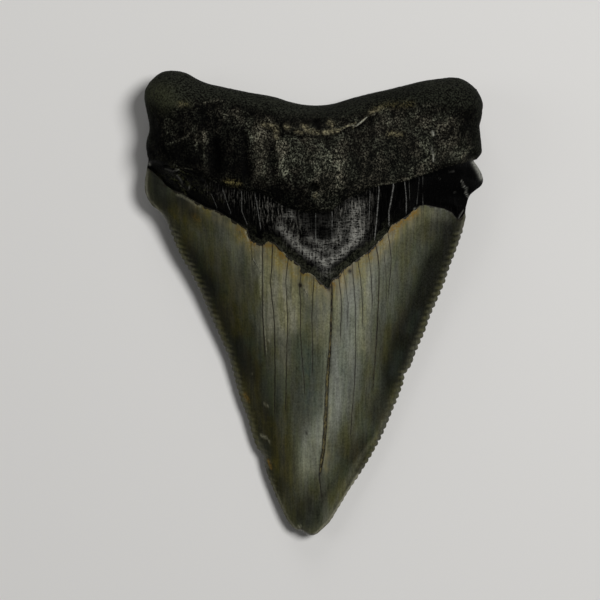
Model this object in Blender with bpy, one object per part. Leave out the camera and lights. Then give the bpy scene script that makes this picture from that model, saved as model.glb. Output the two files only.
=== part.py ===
"""A fossil shark tooth, lying on its labial face with the lingual face up.

The tip of the crown points to -Y, the root lies to +Y, and +Z is up. The origin is on the
surface that the tooth lies on, under the middle of its outline. The tooth is one solid: a loft
of closed sections that climb from the tip to the top of the root. Each section is bent so that
the sections follow the edge of the enamel, the lower edge of the root and the root's crest.
"""

import math

import bmesh
import bpy
import numpy as np

MM = 0.001

# Driving dimensions, in millimetres

# Serrations of each cutting edge, and the low ribs behind them. They grow over the first few at the
# tip and fade over the last few at the root. Both heights are measured from the bottom of a gap to
# the top of a point, and both reaches say how fast the height dies away from the edge.
SERRATIONS = 52
SERRATIONS_THAT_GROW = 7
SERRATIONS_THAT_FADE = 2
SERRATION_HEIGHT = 0.24
SERRATION_REACH = 0.3
RIB_HEIGHT = 0.1
RIB_REACH = 0.75

# Sections of the blade. The arch is a parabola for this share, and for the rest a bell, which is thin
# at the edges. The power makes the arch of the labial face fuller.
BLADE_ROUNDING = 0.45
BLADE_PARABOLA = 0.7
BLADE_POWER_UNDER = 0.85

# The dark band between enamel and root. It starts a step below the enamel, and past this share of
# the way up to the root the step fades. A ledge leads up to the root's face, and starts and ends this
# far above the root's lower edge. The band is never taken as narrower than the least.
ENAMEL_STEP = 0.24
ENAMEL_STEP_WIDTH = 0.15
ENAMEL_STEP_FADES = 0.1
ROOT_LEDGE = 0.6
ROOT_LEDGE_START = -0.1
ROOT_LEDGE_END = 0.5
NECK_ROUNDING = 2.0
LEAST_BAND = 0.01

# How the root is rounded towards its outline on each face, and from where to where above the edge of
# the enamel the labial face turns from blade to root
ROOT_ROUNDING = 4.3
ROOT_ROUNDING_POWER = 1.75
ROOT_ROUNDING_UNDER = 3.0
TURNS_TO_ROOT_UNDER = (-2.0, 3.0)

# The small hole of a blood vessel in the lingual face
FORAMEN = (0.0, 15.8)
FORAMEN_RIM = 0.3
FORAMEN_DEPTH = 0.6

# The outline seen from above, from the tip up each side and along the root's top
TIP = (
    (-2.9, -31.4), (-2.3, -31.85), (-1.7, -31.9), (-1.1, -32.3), (-0.3, -32.55), (0.5, -32.3),
    (1.2, -31.7),
)
LEFT_BLADE = (
    (-2.9, -31.4), (-3.6, -30.5), (-4.6, -28.5), (-5.8, -25.7), (-6.6, -23.6), (-6.9, -22.3),
    (-7.1, -21.4), (-7.9, -20.2), (-8.5, -18.6), (-9.3, -15.8), (-10.2, -13.4), (-11.1, -10.2),
    (-12.0, -7.2), (-13.2, -4.4), (-14.6, -1.2), (-15.9, 1.9), (-17.3, 4.6), (-18.7, 7.1), (-19.8, 9.7),
    (-20.7, 11.8),
)
LEFT_SHOULDER = (
    (-20.7, 11.8), (-21.5, 12.9), (-22.5, 13.7), (-23.2, 14.8), (-23.55, 16.0), (-23.5, 17.3),
    (-23.2, 19.0),
)
LEFT_NECK = ((-23.2, 19.0), (-23.1, 19.8))
LEFT_ROOT = (
    (-23.1, 19.8), (-23.3, 20.6), (-23.45, 21.7), (-23.3, 22.8), (-22.95, 24.2), (-23.1, 25.7),
    (-23.4, 27.1),
)
LEFT_LOBE = ((-23.4, 27.1), (-23.6, 28.6), (-23.5, 29.8), (-22.9, 30.9))
RIGHT_BLADE = (
    (1.2, -31.7), (2.25, -30.65), (3.3, -29.0), (4.85, -26.4), (6.4, -24.05), (7.95, -21.55),
    (9.3, -19.05), (10.4, -16.65), (11.25, -14.5), (12.1, -12.45), (12.65, -10.7), (12.75, -9.9),
    (13.55, -8.85), (14.25, -6.95), (14.9, -5.4), (15.55, -3.9), (16.35, -1.6), (17.4, 0.8),
    (18.3, 3.0), (19.05, 5.3), (19.9, 7.5), (20.65, 9.7), (21.1, 11.4),
)
RIGHT_SHOULDER = ((21.1, 11.4), (21.25, 12.1), (21.2, 12.8))
RIGHT_NECK = (
    (21.2, 12.8), (21.4, 14.0), (21.8, 15.1), (22.5, 15.8), (23.4, 16.5), (23.65, 17.2), (23.35, 18.3),
    (22.75, 19.3), (22.3, 20.0),
)
RIGHT_ROOT = (
    (22.3, 20.0), (23.0, 20.3), (23.5, 21.1), (23.45, 22.1), (23.3, 23.6), (23.2, 24.9), (23.45, 25.8),
    (23.6, 26.8),
)
RIGHT_LOBE = ((23.6, 26.8), (23.65, 27.8), (23.3, 28.9), (22.75, 29.85))
ROOT_TOP = (
    (-22.9, 30.9), (-22.2, 31.6), (-21.2, 32.3), (-20.1, 32.55), (-19.0, 32.5), (-17.7, 32.2),
    (-16.6, 31.6), (-15.6, 31.1), (-14.5, 30.7), (-12.3, 30.2), (-8.9, 29.5), (-5.5, 28.9),
    (-3.3, 28.2), (-1.3, 27.8), (0.6, 27.7), (2.6, 27.9), (5.7, 28.8), (9.0, 29.6), (12.4, 30.4),
    (15.2, 31.1), (18.0, 31.5), (19.4, 31.6), (20.5, 31.45), (21.7, 30.8), (22.75, 29.85),
)

# Lines across the lingual face, from the left side to the right
ENAMEL_EDGE = (
    (-23.2, 19.0), (-20.5, 16.4), (-18.2, 15.3), (-15.0, 13.4), (-12.1, 12.1), (-9.6, 10.4),
    (-8.2, 8.5), (-6.3, 8.5), (-5.3, 8.2), (-3.5, 6.4), (-1.0, 4.4), (0.9, 3.0), (2.1, 2.1), (3.0, 3.5),
    (5.0, 5.3), (7.4, 7.1), (10.4, 10.3), (12.8, 12.1), (14.6, 13.6), (15.5, 13.8), (18.2, 13.2),
    (19.3, 12.5), (20.3, 12.0), (21.2, 12.8),
)
ROOT_EDGE = (
    (-23.1, 19.8), (-21.5, 19.7), (-20.5, 19.5), (-19.4, 18.7), (-16.9, 18.3), (-13.8, 16.7),
    (-12.0, 15.9), (-7.8, 15.1), (-6.1, 14.4), (-4.1, 13.1), (-2.2, 12.5), (-0.5, 12.2), (2.5, 12.5),
    (4.6, 14.2), (6.7, 15.0), (8.1, 15.8), (12.9, 16.8), (16.9, 18.2), (18.6, 18.8), (20.4, 19.3),
    (22.3, 20.0),
)
ROOT_CREST = (
    (-23.4, 27.1), (-18.6, 27.1), (-15.0, 27.8), (-11.7, 27.5), (-7.8, 26.6), (-4.3, 24.6),
    (-2.9, 23.7), (-0.7, 23.5), (3.1, 23.7), (5.8, 24.4), (8.2, 26.9), (12.4, 27.4), (16.9, 27.3),
    (21.6, 27.1), (23.6, 26.8),
)

# The same lines on the labial face, where the enamel reaches higher and the edge is a shallow arc
ENAMEL_EDGE_UNDER = (
    (-23.2, 19.0), (-18.0, 16.2), (-10.0, 13.6), (0.0, 12.3), (10.0, 13.2), (17.0, 14.6), (21.2, 12.8),
)
ROOT_EDGE_UNDER = (
    (-23.1, 19.8), (-18.0, 18.2), (-10.0, 16.2), (0.0, 15.2), (10.0, 16.2), (17.0, 18.2), (22.3, 20.0),
)
ROOT_CREST_UNDER = ((-23.4, 27.1), (-12.0, 26.6), (0.0, 24.6), (12.0, 26.6), (23.6, 26.8))

# The blade's smooth sides, without chips and serrations, as (Y, X)
BLADE_LEFT = (
    (-32.6, -2.4), (-31.5, -3.1), (-30.0, -4.1), (-26.0, -5.9), (-20.0, -8.2), (-14.0, -10.2),
    (-8.0, -12.2), (-2.0, -14.6), (4.0, -17.4), (9.0, -19.8), (13.0, -22.3), (19.0, -23.7),
)
BLADE_RIGHT = (
    (-32.6, 0.6), (-31.5, 1.65), (-30.0, 3.0), (-26.0, 5.4), (-20.0, 9.0), (-14.0, 11.7), (-8.0, 14.1),
    (-2.0, 16.6), (4.0, 19.0), (9.0, 20.9), (13.0, 22.0), (19.0, 23.6),
)

# Heights above the surface as (Y, Z): the cutting edge, and the middle of the blade on each face
EDGE_HEIGHT = (
    (-32.6, 2.1), (-26.0, 1.75), (-16.0, 1.7), (-5.0, 2.1), (6.0, 2.9), (14.0, 3.7), (22.0, 4.4),
    (32.6, 4.3),
)
BLADE_HEIGHT = (
    (-32.6, 2.7), (-31.0, 3.1), (-26.0, 4.15), (-16.0, 5.75), (-6.0, 7.35), (3.0, 8.8), (14.0, 10.3),
)
BLADE_HEIGHT_UNDER = (
    (-32.6, 1.4), (-31.0, 1.1), (-28.0, 0.6), (-24.0, 0.2), (-19.0, -0.05), (-8.0, -0.1), (2.0, 0.0),
    (12.0, 0.35), (16.0, 0.8),
)

# Hills and hollows of the root as (X, Y, radius along X, radius along Y, height)
ROOT_BASE = 9.3
ROOT_FORMS = (
    (0.6, 17.5, 10.5, 8.5, 4.4), (-19.5, 28.0, 4.0, 4.0, 0.5), (18.5, 26.5, 5.0, 4.0, 0.5),
    (-13.7, 20.5, 1.1, 4.0, -0.4), (-9.1, 20.5, 1.0, 4.0, -0.35), (11.0, 22.0, 4.0, 5.0, -0.3),
)
ROOT_BASE_UNDER = -0.35
ROOT_HOLLOW_UNDER = (0.0, 24.0, 11.0, 14.0, 1.5)
NECK_RECESS = (18.6, 15.6, 3.6, 1.7, -1.1)

# The loft's sections along each stretch of the outline, as shares of its length. Away from its edges
# the blade keeps one section out of each inner row's steps.
STEPS_PER_SERRATION = 4
STEPS_PER_INNER_ROW = 8
SHOULDER_STEPS = (0.14, 0.28, 0.42, 0.56, 0.7, 0.84, 1.0)
NECK_STEPS = (0.02, 0.16, 0.32, 0.48, 0.64, 0.8, 0.94, 1.0)
ROOT_STEPS = (0.04, 0.12, 0.24, 0.36, 0.48, 0.6, 0.72, 0.86, 1.0)
LOBE_STEPS = (0.2, 0.4, 0.58, 0.74, 0.87, 0.96, 1.0)

# Where the points of a section lie, from -1 at the left side to 1 at the right. From the edge strip's
# limit out to the sides, every section is kept.
ACROSS = (
    -1.0, -0.993, -0.965, -0.9, -0.82, -0.74, -0.66, -0.59, -0.53, -0.46, -0.39, -0.32, -0.25, -0.18,
    -0.1, -0.03, 0.055, 0.14, 0.22, 0.3, 0.39, 0.48, 0.59, 0.7, 0.8, 0.86, 0.9, 0.965, 0.993, 1.0,
)
ACROSS_UNDER = (
    -1.0, -0.965, -0.9, -0.74, -0.59, -0.39, -0.18, -0.03, 0.14, 0.3, 0.48, 0.7, 0.8, 0.9, 0.965, 1.0,
)
SHARE = (np.array(ACROSS) + 1) / 2
EDGE_STRIP = 0.9
FULL_ROWS_AT_TOP = len(LOBE_STEPS)

# Powers that keep a notch of the outline near its side, and the blade's bends off its edges
NOTCH_POWER = 5
BEND_POWER = 6

# How finely curves are cut, and how far on each side of a point the outline's direction is taken
CURVE_STEP = 0.1
DIRECTION_REACH = 0.2

TOOTH_COLOUR = (0.03, 0.027, 0.022, 1.0)
TOOTH_ROUGHNESS = 0.45


def smooth_line(points):
    """A centripetal Catmull-Rom curve through the points, as a dense polyline."""
    p = np.array(points, float)
    p = np.vstack([2 * p[0] - p[1], p, 2 * p[-1] - p[-2]])
    line = []
    for a, b, c, d in zip(p[:-3], p[1:-2], p[2:-1], p[3:]):
        t1 = math.sqrt(np.linalg.norm(b - a))
        t2 = t1 + math.sqrt(np.linalg.norm(c - b))
        t3 = t2 + math.sqrt(np.linalg.norm(d - c))
        count = max(2, int(np.linalg.norm(c - b) / CURVE_STEP))
        t = np.linspace(t1, t2, count, endpoint=False)[:, None]
        ab = a + (b - a) * t / t1
        bc = b + (c - b) * (t - t1) / (t2 - t1)
        cd = c + (d - c) * (t - t2) / (t3 - t2)
        abc = ab + (bc - ab) * t / t2
        bcd = bc + (cd - bc) * (t - t1) / (t3 - t1)
        line.append(abc + (bcd - abc) * (t - t1) / (t2 - t1))
    return np.vstack([*line, p[-2]])


def lengths_along(line):
    """The distance along a polyline from its start to each of its points."""
    return np.concatenate([[0.0], np.cumsum(np.linalg.norm(np.diff(line, axis=0), axis=1))])


def at_length(line, lengths):
    """The points at these distances along a polyline."""
    along = lengths_along(line)
    return np.column_stack([np.interp(lengths, along, line[:, i]) for i in (0, 1)])


def curve_value(x, knots):
    """A smooth curve through (x, value) knots, level beyond its ends."""
    kx, ky = np.array(knots, float).T
    slope = np.gradient(ky, kx)
    x = np.clip(x, kx[0], kx[-1])
    i = np.clip(np.searchsorted(kx, x) - 1, 0, len(kx) - 2)
    h = kx[i + 1] - kx[i]
    t = (x - kx[i]) / h
    along = (2 * t**3 - 3 * t**2 + 1) * ky[i] + (3 * t**2 - 2 * t**3) * ky[i + 1]
    return along + h * ((t**3 - 2 * t**2 + t) * slope[i] + (t**3 - t**2) * slope[i + 1])


def smoothstep(x, low, high):
    t = np.clip((x - low) / (high - low), 0, 1)
    return t * t * (3 - 2 * t)


def form(x, y, centre_x, centre_y, radius_x, radius_y, height):
    """A round hill, or a hollow where the height is negative."""
    return height * np.exp(-(((x - centre_x) / radius_x) ** 2) - ((y - centre_y) / radius_y) ** 2)


def rounding(distance, radius, power=2.0):
    """0 at the outline, rising round a superellipse to 1 at the radius."""
    t = 1 - np.clip(distance / radius, 0, 1)
    return (1 - t**power) ** (1 / power)


def distance_to(line, x, y):
    """The distance from each point to a polyline."""
    start, along = line[:-1], np.diff(line, axis=0)
    real = np.linalg.norm(along, axis=1) > 0
    start, along = start[real], along[real]
    p = np.column_stack([x.ravel(), y.ravel()])[:, None]
    t = np.clip(((p - start) * along).sum(2) / (along**2).sum(1), 0, 1)
    gap = p - start - t[..., None] * along
    return np.sqrt((gap**2).sum(2).min(1)).reshape(x.shape)


def above(line, x, y):
    """How far each point is above a line that runs across the tooth, measured along Y."""
    return y - np.interp(x, *np.array(line).T)


def blade_arch(x, y):
    """The blade's section: 1 along its middle, 0 at its smooth sides."""
    left, right = curve_value(y, BLADE_LEFT), curve_value(y, BLADE_RIGHT)
    u = np.clip((2 * x - left - right) / (right - left), -1, 1)
    bell = (1 + np.cos(math.pi * u)) / 2
    return BLADE_PARABOLA * (1 - u**2) + (1 - BLADE_PARABOLA) * bell


def lingual_height(x, y, distance):
    """The upper face: the blade, then the dark band that climbs to the root's ledge, then the root."""
    edge = curve_value(y, EDGE_HEIGHT)
    over_enamel, over_root = above(ENAMEL_EDGE, x, y), above(ROOT_EDGE, x, y)
    climb = np.clip(over_enamel / np.maximum(over_enamel - over_root, LEAST_BAND), 0, 1)
    arch = (curve_value(y, BLADE_HEIGHT) - edge) * blade_arch(x, y)
    blade = edge + arch * rounding(distance, BLADE_ROUNDING)
    bulk = ROOT_BASE + sum(form(x, y, *f) for f in ROOT_FORMS)
    root = edge + (bulk - edge) * rounding(distance, ROOT_ROUNDING, ROOT_ROUNDING_POWER)
    z = blade + (root - blade) * climb
    step = smoothstep(over_enamel, 0, ENAMEL_STEP_WIDTH) * (1 - smoothstep(climb, ENAMEL_STEP_FADES, 1))
    ledge = climb * (1 - smoothstep(over_root, ROOT_LEDGE_START, ROOT_LEDGE_END))
    sunk = ENAMEL_STEP * step + ROOT_LEDGE * ledge - form(x, y, *NECK_RECESS)
    return z - sunk * rounding(distance, NECK_ROUNDING)


def labial_height(x, y, distance):
    """The lower face: flat where it touches the surface, under the blade and under both lobes."""
    edge = curve_value(y, EDGE_HEIGHT)
    arch = (edge - curve_value(y, BLADE_HEIGHT_UNDER)) * blade_arch(x, y) ** BLADE_POWER_UNDER
    blade = edge - arch * rounding(distance, BLADE_ROUNDING)
    bulk = ROOT_BASE_UNDER + form(x, y, *ROOT_HOLLOW_UNDER)
    root = edge - (edge - bulk) * rounding(distance, ROOT_ROUNDING_UNDER)
    climb = smoothstep(above(ENAMEL_EDGE_UNDER, x, y), *TURNS_TO_ROOT_UNDER)
    return np.maximum(blade + (root - blade) * climb, 0.0)


def side_of_outline(blade, shoulder, neck, root, lobe, turn):
    """One side of the outline: the loft's points on it, and the way out at each of them. The turn
    is 1 where the tooth is on the left of the line, and -1 where it is on the right."""
    line = smooth_line(blade + shoulder[1:] + neck[1:] + root[1:] + lobe[1:])
    along = lengths_along(line)
    last = [stretch[-1] for stretch in (blade, shoulder, neck, root, lobe)]
    ends = [along[np.linalg.norm(line - point, axis=1).argmin()] for point in last]
    lengths = [np.linspace(0, ends[0], SERRATIONS * STEPS_PER_SERRATION + 1)]
    for steps, low, high in zip((SHOULDER_STEPS, NECK_STEPS, ROOT_STEPS, LOBE_STEPS), ends, ends[1:]):
        lengths.append(low + (high - low) * np.array(steps))
    lengths = np.concatenate(lengths)
    ahead = at_length(line, lengths + DIRECTION_REACH) - at_length(line, lengths - DIRECTION_REACH)
    out = np.column_stack([ahead[:, 1], -ahead[:, 0]]) * turn
    return at_length(line, lengths), out / np.linalg.norm(out, axis=1, keepdims=True)


def serration_wave():
    """For each section, how far the serrations stand out: 0.5 at a point, -0.5 between two."""
    phase = np.arange(SERRATIONS * STEPS_PER_SERRATION + 1) / STEPS_PER_SERRATION
    size = smoothstep(phase, 0, SERRATIONS_THAT_GROW)
    size *= 1 - smoothstep(phase, SERRATIONS - SERRATIONS_THAT_FADE, SERRATIONS)
    wave = (np.abs(np.sin(math.pi * phase)) - 0.5) * size
    others = len(SHOULDER_STEPS + NECK_STEPS + ROOT_STEPS + LOBE_STEPS)
    return np.concatenate([wave, np.zeros(others)])


def section_levels():
    """The level of each section: 0 at the tip, 1 at the enamel's edge, then 2, 3 and 4 at the
    root's edge, its crest and its top."""
    count = SERRATIONS * STEPS_PER_SERRATION + len(SHOULDER_STEPS)
    above_crown = [i + 1 + np.array(steps) for i, steps in enumerate((NECK_STEPS, ROOT_STEPS, LOBE_STEPS))]
    return np.concatenate([np.linspace(0, 1, count + 1), *above_crown])


def across_row(start, end):
    """The x of each point of a row. A notch in the outline only moves the points near it."""
    low, high = curve_value(start[1], BLADE_LEFT), curve_value(end[1], BLADE_RIGHT)
    x = low + (high - low) * SHARE
    return x + (start[0] - low) * (1 - SHARE) ** NOTCH_POWER + (end[0] - high) * SHARE**NOTCH_POWER


def lay_out(keys, left, right):
    """The loft's grid of (x, y) points. Each row joins its two ends on the outline, and is bent
    like the two key lines that it lies between. On the blade the bend leaves the edges alone, so
    that the rows cross them squarely."""
    bends = []
    for key in keys:
        y = np.interp(across_row(key[0], key[-1]), *key.T)
        bends.append(y - key[0, 1] - (key[-1, 1] - key[0, 1]) * SHARE)
    inwards = 4 * SHARE * (1 - SHARE)
    rows = []
    for level, start, end in zip(section_levels(), left, right):
        k = min(int(level), len(keys) - 2)
        bend = bends[k] + (bends[k + 1] - bends[k]) * (level - k)
        bend *= inwards ** max(BEND_POWER * level * (1 - level), 0)
        rows.append((across_row(start, end), start[1] + (end[1] - start[1]) * SHARE + bend))
    return np.array(rows).transpose(1, 0, 2)


def face_points(keys, height, side, left, right, outline):
    """One face's grid of points. The side is 1 for the upper face and -1 for the lower."""
    x, y = lay_out(keys, left[0], right[0])
    distance = distance_to(outline, x, y)
    wave = serration_wave()[:, None]
    rib = RIB_HEIGHT * wave * np.exp(-distance / RIB_REACH) * np.minimum(distance / SERRATION_REACH, 1)
    z = height(x, y, distance) + side * rib
    on_outline = np.zeros(x.shape, bool)
    on_outline[:, [0, -1]] = on_outline[[0, -1]] = True
    z[on_outline] = curve_value(y[on_outline], EDGE_HEIGHT)
    reach = SERRATION_HEIGHT * wave * np.exp(-distance / SERRATION_REACH)
    out = np.where((np.array(ACROSS) < 0)[:, None], left[1][:, None], right[1][:, None])
    return np.dstack([x + reach * out[..., 0], y + reach * out[..., 1], z])


def add_points(bm, points, columns, outline=None):
    """Vertices at the grid's points, and None where the mesh needs none: in other columns than
    these, but for the rows at the root's top, and in most rows of the blade away from its edges."""
    last = len(points) - 1
    grid = []
    for r, row in enumerate(points):
        whole = r % STEPS_PER_INNER_ROW == 0 or r > SERRATIONS * STEPS_PER_SERRATION
        cells = []
        for c, (u, point) in enumerate(zip(ACROSS, row)):
            if outline and (r in (0, last) or abs(u) == 1):
                cells.append(outline[r][c])
            elif r > last - FULL_ROWS_AT_TOP or u in columns and (whole or abs(u) >= EDGE_STRIP):
                cells.append(bm.verts.new(MM * point))
            else:
                cells.append(None)
        grid.append(cells)
    return grid


def add_faces(bm, grid, columns):
    """One face for each cell between the grid's vertices, with every vertex on the cell's sides."""
    places = [c for c, u in enumerate(ACROSS) if u in columns]
    for a, b in zip(places, places[1:]):
        rows = [r for r, row in enumerate(grid) if row[a] and row[b]]
        for low, high in zip(rows, rows[1:]):
            bottom, top = grid[low][a : b + 1], grid[high][a : b + 1]
            if all(bottom + top) and high == low + 1:
                for corners in zip(bottom, bottom[1:], top[1:], top):
                    bm.faces.new(corners)
            else:
                ring = bottom + [row[b] for row in grid[low + 1 : high]]
                ring += top[::-1] + [row[a] for row in grid[low + 1 : high][::-1]]
                bm.faces.new([vertex for vertex in ring if vertex])


def sink_foramen(bm):
    """Sinks the face of the root at the small hole of its blood vessel."""
    x, y = (MM * place for place in FORAMEN)
    faces = [face for face in bm.faces if face.calc_center_median().z > MM * ROOT_BASE]
    centres = [face.calc_center_median() for face in faces]
    nearest = min(range(len(faces)), key=lambda i: math.hypot(centres[i].x - x, centres[i].y - y))
    rim, depth = MM * FORAMEN_RIM, -MM * FORAMEN_DEPTH
    bmesh.ops.inset_individual(bm, faces=[faces[nearest]], thickness=rim, depth=depth, use_even_offset=True)


def loft(name):
    """The tooth's mesh: two faces that share their points on the outline."""
    left = side_of_outline(LEFT_BLADE, LEFT_SHOULDER, LEFT_NECK, LEFT_ROOT, LEFT_LOBE, -1)
    right = side_of_outline(RIGHT_BLADE, RIGHT_SHOULDER, RIGHT_NECK, RIGHT_ROOT, RIGHT_LOBE, 1)
    tip, top = smooth_line(TIP), smooth_line(ROOT_TOP)
    outline = np.vstack([left[0], top, right[0][::-1], tip[::-1]])
    lines = [np.array(k) for k in (ENAMEL_EDGE, ROOT_EDGE, ROOT_CREST)]
    lines_under = [np.array(k) for k in (ENAMEL_EDGE_UNDER, ROOT_EDGE_UNDER, ROOT_CREST_UNDER)]
    upper = face_points([tip, *lines, top], lingual_height, 1, left, right, outline)
    lower = face_points([tip, *lines_under, top], labial_height, -1, left, right, outline)

    bm = bmesh.new()
    upper_grid = add_points(bm, upper, ACROSS)
    add_faces(bm, upper_grid, ACROSS)
    add_faces(bm, add_points(bm, lower, ACROSS_UNDER, upper_grid), ACROSS_UNDER)
    bmesh.ops.recalc_face_normals(bm, faces=bm.faces)
    sink_foramen(bm)
    mesh = bpy.data.meshes.new(name)
    bm.to_mesh(mesh)
    bm.free()
    return mesh


def satin(name):
    material = bpy.data.materials.new(name)
    material.use_nodes = True
    shader = material.node_tree.nodes["Principled BSDF"]
    shader.inputs["Base Color"].default_value = TOOTH_COLOUR
    shader.inputs["Roughness"].default_value = TOOTH_ROUGHNESS
    shader.inputs["Metallic"].default_value = 0.0
    return material


def build():
    for obj in list(bpy.data.objects):
        bpy.data.objects.remove(obj)
    group = bpy.data.collections.new("fossil_shark_tooth")
    bpy.context.scene.collection.children.link(group)
    tooth = bpy.data.objects.new("tooth", loft("tooth"))
    tooth.data.materials.append(satin("fossil_tooth"))
    tooth.data.shade_smooth()
    group.objects.link(tooth)


build()
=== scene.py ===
"""The looks of a fossil shark tooth that lies on its labial face.

One finely divided mesh stands for the tooth's solid. It has the solid's outline, sections and heights,
and adds what is too fine for the solid: the ragged edge of the enamel, cracks, scratches, the grain of
the root and small deposits. The shape is worked out in millimetres, with the tip towards -Y, the root
towards +Y and the lingual face up. Places that differ in colour are painted as vertex attributes, which
the materials mix with noise.
"""

import functools
import math

import bpy
import numpy as np
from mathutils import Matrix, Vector, kdtree, noise


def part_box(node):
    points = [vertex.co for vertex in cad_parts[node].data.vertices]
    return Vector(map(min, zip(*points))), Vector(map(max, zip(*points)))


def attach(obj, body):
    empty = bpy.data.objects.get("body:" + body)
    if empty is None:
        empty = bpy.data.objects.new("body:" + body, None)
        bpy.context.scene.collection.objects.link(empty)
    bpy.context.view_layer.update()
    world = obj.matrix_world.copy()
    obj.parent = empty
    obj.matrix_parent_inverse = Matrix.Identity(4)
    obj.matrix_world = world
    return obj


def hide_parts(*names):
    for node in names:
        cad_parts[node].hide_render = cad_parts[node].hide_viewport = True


MM = 0.001
CAD_NODE = "tooth"

# The outline seen from above, from the tip up each side and along the root's top
TIP = (
    (-2.9, -31.4), (-2.3, -31.85), (-1.7, -31.9), (-1.1, -32.3), (-0.3, -32.55), (0.5, -32.3), (1.2, -31.7),
)
LEFT_BLADE = (
    (-2.9, -31.4), (-3.6, -30.5), (-4.6, -28.5), (-5.8, -25.7), (-6.6, -23.6), (-6.9, -22.3), (-7.1, -21.4),
    (-7.9, -20.2), (-8.5, -18.6), (-9.3, -15.8), (-10.2, -13.4), (-11.1, -10.2), (-12, -7.2), (-13.2, -4.4),
    (-14.6, -1.2), (-15.9, 1.9), (-17.3, 4.6), (-18.7, 7.1), (-19.8, 9.7), (-20.7, 11.8),
)
LEFT_SHOULDER = (
    (-20.7, 11.8), (-21.5, 12.9), (-22.5, 13.7), (-23.2, 14.8), (-23.55, 16), (-23.5, 17.3), (-23.2, 19),
)
LEFT_NECK = ((-23.2, 19), (-23.1, 19.8))
LEFT_ROOT = (
    (-23.1, 19.8), (-23.3, 20.6), (-23.45, 21.7), (-23.3, 22.8), (-22.95, 24.2), (-23.1, 25.7),
    (-23.4, 27.1),
)
LEFT_LOBE = ((-23.4, 27.1), (-23.6, 28.6), (-23.5, 29.8), (-22.9, 30.9))
RIGHT_BLADE = (
    (1.2, -31.7), (2.25, -30.65), (3.3, -29), (4.85, -26.4), (6.4, -24.05), (7.95, -21.55), (9.3, -19.05),
    (10.4, -16.65), (11.25, -14.5), (12.1, -12.45), (12.65, -10.7), (12.75, -9.9), (13.55, -8.85),
    (14.25, -6.95), (14.9, -5.4), (15.55, -3.9), (16.35, -1.6), (17.4, 0.8), (18.3, 3), (19.05, 5.3),
    (19.9, 7.5), (20.65, 9.7), (21.1, 11.4),
)
RIGHT_SHOULDER = ((21.1, 11.4), (21.25, 12.1), (21.2, 12.8))
RIGHT_NECK = (
    (21.2, 12.8), (21.4, 14), (21.8, 15.1), (22.5, 15.8), (23.4, 16.5), (23.65, 17.2), (23.35, 18.3),
    (22.75, 19.3), (22.3, 20),
)
RIGHT_ROOT = (
    (22.3, 20), (23, 20.3), (23.5, 21.1), (23.45, 22.1), (23.3, 23.6), (23.2, 24.9), (23.45, 25.8),
    (23.6, 26.8),
)
RIGHT_LOBE = ((23.6, 26.8), (23.65, 27.8), (23.3, 28.9), (22.75, 29.85))
ROOT_TOP = (
    (-22.9, 30.9), (-22.2, 31.6), (-21.2, 32.3), (-20.1, 32.55), (-19, 32.5), (-17.7, 32.2), (-16.6, 31.6),
    (-15.6, 31.1), (-14.5, 30.7), (-12.3, 30.2), (-8.9, 29.5), (-5.5, 28.9), (-3.3, 28.2), (-1.3, 27.8),
    (0.6, 27.7), (2.6, 27.9), (5.7, 28.8), (9, 29.6), (12.4, 30.4), (15.2, 31.1), (18, 31.5), (19.4, 31.6),
    (20.5, 31.45), (21.7, 30.8), (22.75, 29.85),
)

# Lines across the lingual face, from the left side to the right
ENAMEL_EDGE = (
    (-23.2, 19), (-22.1, 18.1), (-21.2, 17.3), (-20.5, 16.4), (-19.4, 15.7), (-18.2, 15.3), (-16.8, 14.4),
    (-15, 13.4), (-13.2, 12.8), (-12.1, 12.1), (-10.5, 11.1), (-9.1, 10.3), (-8.9, 9.1), (-8.6, 8.6),
    (-7.1, 8.1), (-6.3, 8.6), (-5.3, 8.4), (-4.4, 7.4), (-3.5, 6.4), (-2.7, 5.9), (-1.8, 5.2), (-1.6, 4.3),
    (-0.7, 4.3), (0, 3.9), (0.9, 3), (1.7, 2.3), (2.1, 2.1), (2.4, 3.4), (3.2, 3.7), (3.9, 4.7), (5, 5.3),
    (6, 6.2), (7.4, 7.1), (8.5, 8.2), (9.6, 9.3), (10.4, 10.1), (10.6, 10.8), (11.7, 11.4), (12.8, 12.1),
    (13.9, 13), (14.6, 13.6), (15.5, 13.7), (16.7, 13.5), (18.2, 13.2), (19.3, 12.7), (20.1, 11.7),
    (20.7, 12.1), (21.2, 12.8),
)
ROOT_EDGE = (
    (-23.1, 19.8), (-21.5, 19.7), (-20.5, 19.5), (-19.4, 18.7), (-16.9, 18.3), (-13.8, 16.7), (-12, 15.9),
    (-7.8, 15.1), (-6.1, 14.4), (-4.1, 13.1), (-2.2, 12.5), (-0.5, 12.2), (2.5, 12.5), (4.6, 14.2),
    (6.7, 15), (8.1, 15.8), (12.9, 16.8), (16.9, 18.2), (18.6, 18.8), (20.4, 19.3), (22.3, 20),
)
ROOT_CREST = (
    (-23.4, 27.1), (-18.6, 27.1), (-15, 27.8), (-11.7, 27.5), (-7.8, 26.6), (-4.3, 24.6), (-2.9, 23.7),
    (-0.7, 23.5), (3.1, 23.7), (5.8, 24.4), (8.2, 26.9), (12.4, 27.4), (16.9, 27.3), (21.6, 27.1),
    (23.6, 26.8),
)

# The same lines on the labial face, where the enamel reaches higher and the edge is a shallow arc
ENAMEL_EDGE_UNDER = ((-23.2, 19), (-18, 16.2), (-10, 13.6), (0, 12.3), (10, 13.2), (17, 14.6), (21.2, 12.8))
ROOT_EDGE_UNDER = ((-23.1, 19.8), (-18, 18.2), (-10, 16.2), (0, 15.2), (10, 16.2), (17, 18.2), (22.3, 20))
ROOT_CREST_UNDER = ((-23.4, 27.1), (-12, 26.6), (0, 24.6), (12, 26.6), (23.6, 26.8))

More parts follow.
